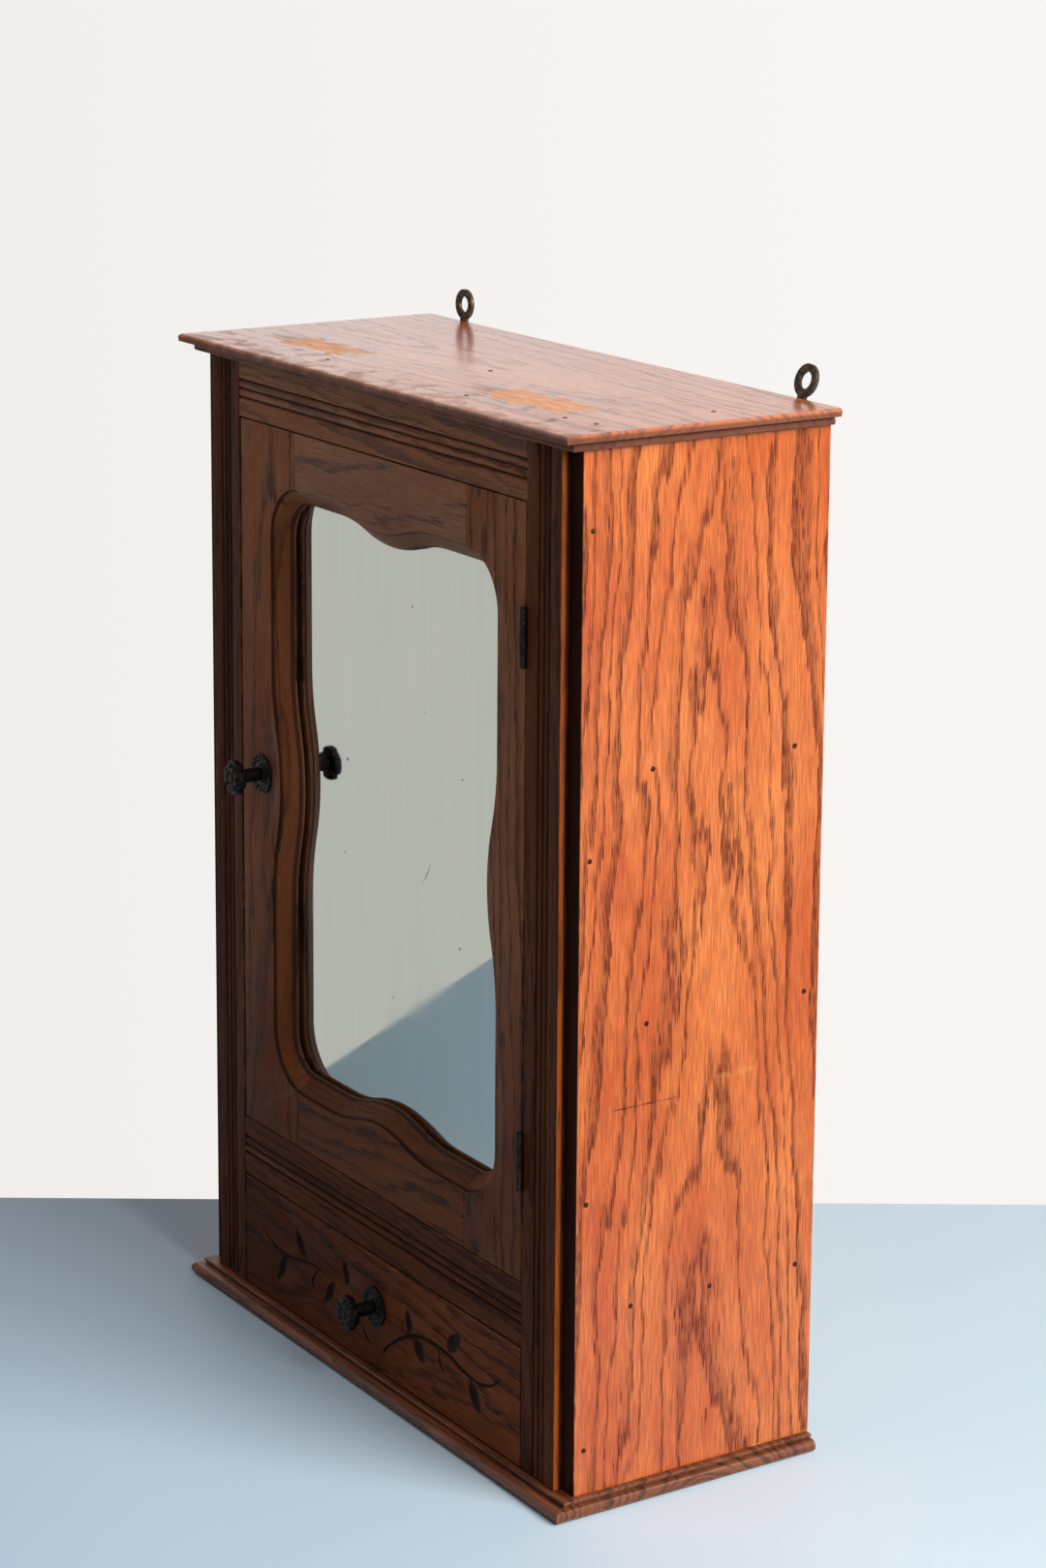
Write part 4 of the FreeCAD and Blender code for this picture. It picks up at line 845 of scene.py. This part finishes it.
def make_mirror():
    low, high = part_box("mirror_glass")
    bpy.ops.object.select_all(action="DESELECT")
    bpy.ops.mesh.primitive_cube_add(size=1, location=(low + high) / 2, scale=high - low)
    piece = bpy.context.object
    bpy.ops.object.transform_apply(location=True, rotation=True, scale=True)
    start_edit(piece, "FACE", lambda face: face.normal.y < -0.9)
    bpy.ops.mesh.inset(thickness=SILVER_RIM * MM)
    bpy.ops.transform.translate(value=(0, SILVER_DEPTH * MM, 0))
    bpy.ops.object.mode_set(mode="OBJECT")
    finish_piece(piece, "mirror_plate", "door", mirror_finish(), 20)
    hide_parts("mirror_glass")


# Metalwork

# Metals: name, colour, colour where it is rubbed, roughness, and size of the patina's spots in mm

# Cast bronze under an old patina is nearly black, with a dull gleam where hands have rubbed it
BRONZE = ("patinated cast bronze", "100E0C", "2E2822", 0.48, 1.6)
# Browned hinge steel is dark and a little warm, so that it hardly stands out from the oak
HINGE_STEEL = ("browned hinge steel", "1C1612", "40322A", 0.5, 2.0)
# Wrought iron is a spotty grey-brown, lighter than the other metals
WROUGHT_IRON = ("dark wrought iron", "38322C", "675849", 0.55, 2.4)
# Old nail heads are dull and rusty
NAIL_IRON = ("blackened iron nails", "2C170D", "5A3A27", 0.6, 1.0)
# Depth of the patina's relief in mm
PATINA_RELIEF = 0.15


def metal(name, dark, bright, roughness, grit):
    """Cast or rolled metal under an old patina, with a bright trace where it is rubbed."""
    material = new_material(name, Metallic=0.9)
    tree, shader, place, _ = open_paint(material)
    patina = add(tree, "TexNoise", {"Vector": place, "Scale": 1 / (grit * MM), "Detail": 5})
    share = add(tree, "MapRange", [patina, 0.42, 0.72])
    colour = add(tree, "Mix", {0: share, 6: linear(dark), 7: linear(bright)}, **COLOURS)
    rough = add(tree, "MapRange", [patina, 0.3, 0.7, roughness + 0.12, roughness - 0.1])
    bump = add(tree, "Bump", {"Strength": 0.4, "Distance": PATINA_RELIEF * MM, "Height": patina})
    wire(tree, shader, Base_Color=colour, Roughness=rough, Normal=bump)
    return material


# Castings, in mm: farther out than the rim only a knob's lobes or a rosette's rim are left, and the
# rear edges of the lobes lie beyond the neck
RIM, NECK = 9, 6
# How closely those rear edges keep to one level, and the width by which they are rounded
LEVEL, LOBE_ROUND = 0.01, 2.0
# Grain of the sand, and passes of smoothing
KNOB_SAND, ROSETTE_SAND = (0.28, 3), (0.24, 2)
# Sunk rings: radius and thickness
KNOB_RING, ROSETTE_RING = (3.4, 0.9), (8.0, 0.7)
# Round hollows: distance from the middle, radius, depth of their centres behind the face, and count
LOBE_HOLLOWS, NOTCH_HOLLOWS, RIM_HOLLOWS = (7.7, 1.7, 0.4, 4), (6.2, 1.3, -0.3, 4), (10.1, 1.0, 0, 16)


def add_ball(place, radius):
    bpy.ops.object.select_all(action="DESELECT")
    bpy.ops.mesh.primitive_uv_sphere_add(segments=16, ring_count=8, radius=radius * MM, location=place)
    return bpy.context.object


def add_ring(place, radius, thickness):
    """Ring that faces the front."""
    bpy.ops.object.select_all(action="DESELECT")
    bpy.ops.mesh.primitive_torus_add(
        major_radius=radius * MM, minor_radius=thickness * MM, major_segments=40, minor_segments=10,
        location=place, rotation=(math.pi / 2, 0, 0))
    return bpy.context.object


def round_places(middle, radius, count, start=0.0):
    """Places spaced evenly on a circle that faces the front."""
    turns = [start + 2 * math.pi * i / count for i in range(count)]
    return [middle + Vector((math.cos(t), 0, math.sin(t))) * radius * MM for t in turns]


def front_middle(node):
    low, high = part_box(node)
    return Vector(((low.x + high.x) / 2, low.y, (low.z + high.z) / 2))


def cut_hollows(piece, face, hollows, start=0.0):
    """Cut a circle of round hollows into a face, starting at an angle."""
    distance, radius, depth, count = hollows
    for place in round_places(face + Vector((0, depth * MM, 0)), distance, count, start):
        cut_away(piece, add_ball(place, radius))


def finish_casting(piece, node, grain, passes, finish):
    """Remesh a casting at a grain in mm and smooth it, as sand rounds every edge, for its node."""
    select_only(piece)
    remesh = piece.modifiers.new("remesh", "REMESH")
    remesh.mode = "VOXEL"
    remesh.voxel_size = grain * MM
    bpy.ops.object.modifier_apply(modifier=remesh.name)
    smooth = piece.modifiers.new("smooth", "SMOOTH")
    smooth.factor = 0.5
    smooth.iterations = passes
    bpy.ops.object.modifier_apply(modifier=smooth.name)
    finish_piece(piece, node + "_cast", node_body(node), finish, 60)
    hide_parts(node)


def make_knob(node, finish):
    """Cast knob: a boss in a sunk ring, with a hollow in each lobe and between the lobes."""
    piece = node_copy(node)
    front = front_middle(node)
    rear = max(v.co.y for v in piece.data.vertices if (v.co - front).xz.length > RIM * MM)
    bevel_edges(piece, LOBE_ROUND, 2, lambda edge: all(
        abs(v.co.y - rear) < LEVEL * MM and (v.co - front).xz.length > NECK * MM for v in edge.verts))
    cut_away(piece, add_ring(front, *KNOB_RING))
    cut_hollows(piece, front, LOBE_HOLLOWS)
    cut_hollows(piece, front, NOTCH_HOLLOWS, math.pi / 4)
    finish_casting(piece, node, *KNOB_SAND, finish)


def make_rosette(node, finish):
    """Cast plate with a sunk ring and a row of hollows inside its rim."""
    piece = node_copy(node)
    front = front_middle(node)
    front.y = min(v.co.y for v in piece.data.vertices if (v.co - front).xz.length > RIM * MM)
    cut_away(piece, add_ring(front, *ROSETTE_RING))
    cut_hollows(piece, front, RIM_HOLLOWS)
    finish_casting(piece, node, *ROSETTE_SAND, finish)


# Dome of a head as a share of its height, and slot of a screw as shares of the head's radius: width,
# depth, and length of its cutter
DOME, SLOT_WIDTH, SLOT_DEPTH, SLOT_LENGTH = 0.7, 0.34, 0.4, 3


def add_head(axis, radius, height):
    """Round head at the origin, domed by bevels, on a face whose normal is the axis."""
    bpy.ops.object.select_all(action="DESELECT")
    turn = Vector(axis).to_track_quat("Z", "Y").to_euler()
    bpy.ops.mesh.primitive_cylinder_add(
        vertices=16, radius=radius * MM, depth=2 * height * MM, rotation=turn)
    head = bpy.context.object
    bpy.ops.object.transform_apply(location=True, rotation=True, scale=True)
    start_edit(head, "FACE", lambda face: face.normal.dot(Vector(axis)) > 0.9)
    bpy.ops.mesh.bevel(offset=DOME * height * MM, segments=2, affect="EDGES")
    bpy.ops.object.mode_set(mode="OBJECT")
    return head


def join_heads(heads, name, body, finish):
    bpy.ops.object.select_all(action="DESELECT")
    for head in heads:
        head.select_set(True)
    bpy.context.view_layer.objects.active = heads[0]
    if len(heads) > 1:
        bpy.ops.object.join()
    finish_piece(heads[0], name, body, finish, 40)


def add_slotted_head(axis, radius, height):
    """Screw head at the origin, with an upright slot."""
    head = add_head(axis, radius, height)
    out = Vector(axis)
    bpy.ops.object.select_all(action="DESELECT")
    bpy.ops.mesh.primitive_cube_add(size=1)
    slot = bpy.context.object
    wide, long = SLOT_WIDTH * radius * MM, SLOT_LENGTH * radius * MM
    slot.matrix_world = (
        Matrix.Translation(out * ((height - SLOT_DEPTH * radius) * MM + long / 2))
        @ out.to_track_quat("Z", "Y").to_matrix().to_4x4()
        @ Matrix.Diagonal((wide, long, long, 1)))
    cut_away(head, slot)
    return head


def copy_head(head, axis, spots):
    """Copies of a head at places, each with its own mesh and turned by so many degrees."""
    copies = []
    for place, turn in spots:
        copy = new_object("head", head.data.copy())
        copy.matrix_world = Matrix.Translation(place) @ Matrix.Rotation(math.radians(turn), 4, axis)
        copies.append(copy)
    bpy.data.objects.remove(head)
    return copies


# Nails in mm: on the sides at y and z, on the top at x and y, on the middle rail at x and z, and on
# the back in rows at z, this far in from the edges of each board
SIDE_NAILS = [
    (-26, 415), (68, 415), (-28, 273.5), (78, 273.5), (-36, 113.5), (17, 113.5), (76, 113.5),
    (-66, 548), (-66, 370), (-66, 178), (-66, 36)]
TOP_NAILS = [(-77, -63), (74, -63), (162, -57), (187, -54), (186, 22), (7, -5)]
RAIL_NAILS = [(6, 112)]
BACK_ROWS, BACK_INSET = (16, 113.5, 273.5, 415, 584), 14
# Heads: radius and height in mm
SIDE_HEAD, TOP_HEAD, RAIL_HEAD, BACK_HEAD = (1.5, 0.25), (1.4, 0.2), (1.3, 0.2), (1.8, 0.4)
HINGE_HEAD, PLATE_HEAD = (2.1, 0.2), (3.2, 1.3)
# Screws: height over the middle of a hinge or the foot of a plate in mm, and turn in degrees
HINGE_SCREWS = [(-10.5, 20), (10.5, 65)]
PLATE_SCREWS = {"left": [(11, 15), (27, 80)], "right": [(11, 50), (27, 120)]}
# How far the hinges' screws lie in front of the rear of the leaf, and thickness of the plates, in mm
SCREW_INSET, PLATE_THICKNESS = 5.6, 2


def make_nails(iron):
    rows = []
    for hand, side in (("left", -1), ("right", 1)):
        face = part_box(f"{hand}_side")[0 if side < 0 else 1].x
        places = [(face, y * MM, z * MM) for y, z in SIDE_NAILS]
        rows.append((f"{hand}_side_nails", (side, 0, 0), SIDE_HEAD, places))
    places = [(x * MM, y * MM, TOP) for x, y in TOP_NAILS]
    rows.append(("top_nails", (0, 0, 1), TOP_HEAD, places))
    places = [(x * MM, FRONT, z * MM) for x, z in RAIL_NAILS]
    rows.append(("rail_nails", (0, -1, 0), RAIL_HEAD, places))
    places = []
    for position in ("left", "middle", "right"):
        low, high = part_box(f"back_board_{position}")
        for z in BACK_ROWS:
            places += [(x, REAR, z * MM) for x in (low.x + BACK_INSET * MM, high.x - BACK_INSET * MM)]
    rows.append(("back_nails", (0, 1, 0), BACK_HEAD, places))
    for name, axis, head, places in rows:
        heads = copy_head(add_head(axis, *head), axis, [(place, 0) for place in places])
        join_heads(heads, name, "cabinet", iron)


def make_screws(steel, iron):
    for level in ("upper", "lower"):
        for part, body, outward in (("fixed_leaf", "cabinet", -1), ("door_leaf", "door", 1)):
            low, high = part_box(f"{level}_hinge_{part}")
            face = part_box("right_pilaster")[0].x if outward < 0 else DOOR_BOX[1].x
            middle = (low.z + high.z) / 2
            axis = (outward, 0, 0)
            spots = [
                ((face, high.y - SCREW_INSET * MM, middle + rise * MM), turn)
                for rise, turn in HINGE_SCREWS]
            heads = copy_head(add_slotted_head(axis, *HINGE_HEAD), axis, spots)
            join_heads(heads, f"{level}_hinge_{part}_screws", body, steel)
    for hand, screws in PLATE_SCREWS.items():
        low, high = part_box(f"hanging_plate_{hand}")
        middle = (low.x + high.x) / 2
        axis = (0, 1, 0)
        spots = [
            ((middle, REAR + PLATE_THICKNESS * MM, low.z + rise * MM), turn) for rise, turn in screws]
        heads = copy_head(add_slotted_head(axis, *PLATE_HEAD), axis, spots)
        join_heads(heads, f"hanging_plate_{hand}_screws", "cabinet", iron)


def make_metalwork():
    bronze, steel, iron, nails = (
        metal(*look) for look in (BRONZE, HINGE_STEEL, WROUGHT_IRON, NAIL_IRON))
    for where in ("door", "drawer"):
        make_knob(f"{where}_knob", bronze)
        make_rosette(f"{where}_rosette", bronze)
    for name in ("latch_tongue", "spindle_nut", "drawer_knob_nut"):
        eased(name, iron, LATCH_EASE)
    for level in ("upper", "lower"):
        for part in ("fixed_leaf", "door_leaf", "pin"):
            node = frame["nodes"][f"{level}_hinge_{part}"]
            node.data.materials.clear()
            node.data.materials.append(steel)
    for hand in ("left", "right"):
        eased(f"hanging_plate_{hand}", iron, PLATE_EASE)
    make_nails(nails)
    make_screws(steel, iron)


# Stage

# Floor: half its length and its gap below the base in metres, its colours as it is seen at the left
# and right ends of a span across the frame in metres, darker on the left with a painted shadow of the
# cabinet, and its colour for soft light
FLOOR_HALF, FLOOR_GAP = 5.0, 0.2 * MM
FLOOR_LEFT, FLOOR_RIGHT, FLOOR_SPAN = "B3CBE1", "D9EFFF", (-0.5, 0.2)
FLOOR_SOFT = "9AA4AC"
# Lamps: name, place, aim and size in metres, power in watts and colour
LAMPS = [
    ("window", (3.05, 0.78, 2.25), (0.1, 0, 0.3), 2.5, 200, "FFFCF7"),
    ("fill", (-0.12, -0.7, 1.35), (0, -0.08, 0.6), 0.5, 1.45, "F4F2FA"),
]
# Surround: way to its paler half, colours away from it and towards it, and strength where it is
# seen and for soft light
PALE_WAY = (0.35, 0.94, 0)
SURROUND_DARK, SURROUND_PALE = "D6D2CE", "F9F5F2"
SEEN_STRENGTH, SOFT_STRENGTH = 1.0, 0.13


def make_camera():
    lens = bpy.data.cameras.new("camera")
    lens.sensor_width = 36
    lens.lens = FOCAL_PX * lens.sensor_width / FRAME_HEIGHT_PX
    lens.shift_y = SHIFT_UP
    lens.clip_end = 50
    camera = new_object("camera", lens)
    turn = Matrix.Rotation(HEADING, 4, "Z") @ Matrix.Rotation(math.pi / 2 - TILT, 4, "X")
    camera.matrix_world = Matrix.Translation(EYE) @ turn @ Matrix.Rotation(ROLL, 4, "Z")
    bpy.context.scene.camera = camera
    return camera


def seen_ray(tree):
    """1 for rays from the camera, also by way of a mirror or glass, and 0 for rays of soft light."""
    rays = add(tree, "LightPath").node.outputs
    seen = add(tree, "Math.MAXIMUM", [rays["Is Camera Ray"], rays["Is Glossy Ray"]])
    return add(tree, "Math.MAXIMUM", [seen, rays["Is Transmission Ray"]])


def make_floor(camera):
    """Pale painted floor, darker on the left with a painted shadow of the cabinet, ending on a straight line
    behind it.
    """
    bottom = (FLOOR_LINE_PX - FRAME_HEIGHT_PX * (0.5 + SHIFT_UP)) / FOCAL_PX
    ray = camera.matrix_world.to_3x3() @ Vector((0, -bottom, -1))
    end = EYE + ray * (-EYE.z / ray.z)
    ahead = Vector((-math.sin(HEADING), math.cos(HEADING), 0))
    middle = Vector((end.x, end.y, 0)) - ahead * FLOOR_HALF
    bpy.ops.object.select_all(action="DESELECT")
    bpy.ops.mesh.primitive_plane_add(
        size=2 * FLOOR_HALF, location=middle - Vector((0, 0, FLOOR_GAP)), rotation=(0, 0, HEADING))
    floor = bpy.context.object
    floor.name = "floor"
    finish = new_material("matt painted floor", Roughness=0.55)
    tree, shader, _, sides = open_paint(finish)
    left, right = FLOOR_SPAN
    # Darker towards the left: a painted shadow of the cabinet
    share = add(tree, "MapRange", [sides["X"], left, right])
    colour = add(tree, "Mix", {0: share, 6: linear(FLOOR_LEFT), 7: linear(FLOOR_RIGHT)}, **COLOURS)
    # The floor looks pale but throws less light back at the cabinet
    colour = add(tree, "Mix", {0: seen_ray(tree), 6: linear(FLOOR_SOFT), 7: colour}, **COLOURS)
    wire(tree, shader, Base_Color=colour)
    floor.data.materials.append(finish)


def make_lamp(name, place, aim, size, power, colour):
    lamp = bpy.data.lights.new(name, "AREA")
    lamp.size = size
    lamp.energy = power
    lamp.color = linear(colour)[:3]
    item = new_object(name, lamp)
    item.location = place
    item.rotation_euler = (Vector(aim) - Vector(place)).to_track_quat("-Z", "Y").to_euler()


def make_light():
    """Large soft lamp on the right, a weak one in front, and a surround that is paler behind."""
    for lamp in LAMPS:
        make_lamp(*lamp)
    world = bpy.data.worlds.new("surround")
    bpy.context.scene.world = world
    world.use_nodes = True
    tree = world.node_tree
    tree.nodes.clear()
    way = add(tree, "TexCoord", out="Generated")
    facing = add(tree, "VectorMath.DOT_PRODUCT", [way, PALE_WAY], out="Value")
    share = add(tree, "MapRange", [facing, -0.7, 0.3])
    colour = add(tree, "Mix", {0: share, 6: linear(SURROUND_DARK), 7: linear(SURROUND_PALE)}, **COLOURS)
    soft = add(tree, "Background", {"Color": colour, "Strength": SOFT_STRENGTH})
    seen = add(tree, "Background", {"Color": colour, "Strength": SEEN_STRENGTH})
    mixed = add(tree, "MixShader", [seen_ray(tree), soft, seen])
    tree.links.new(mixed, tree.nodes.new("ShaderNodeOutputWorld").inputs["Surface"])


bpy.context.scene.view_settings.view_transform = "Standard"
make_boards()
make_drawer_front()
make_mirror()
make_metalwork()
camera = make_camera()
make_floor(camera)
make_light()
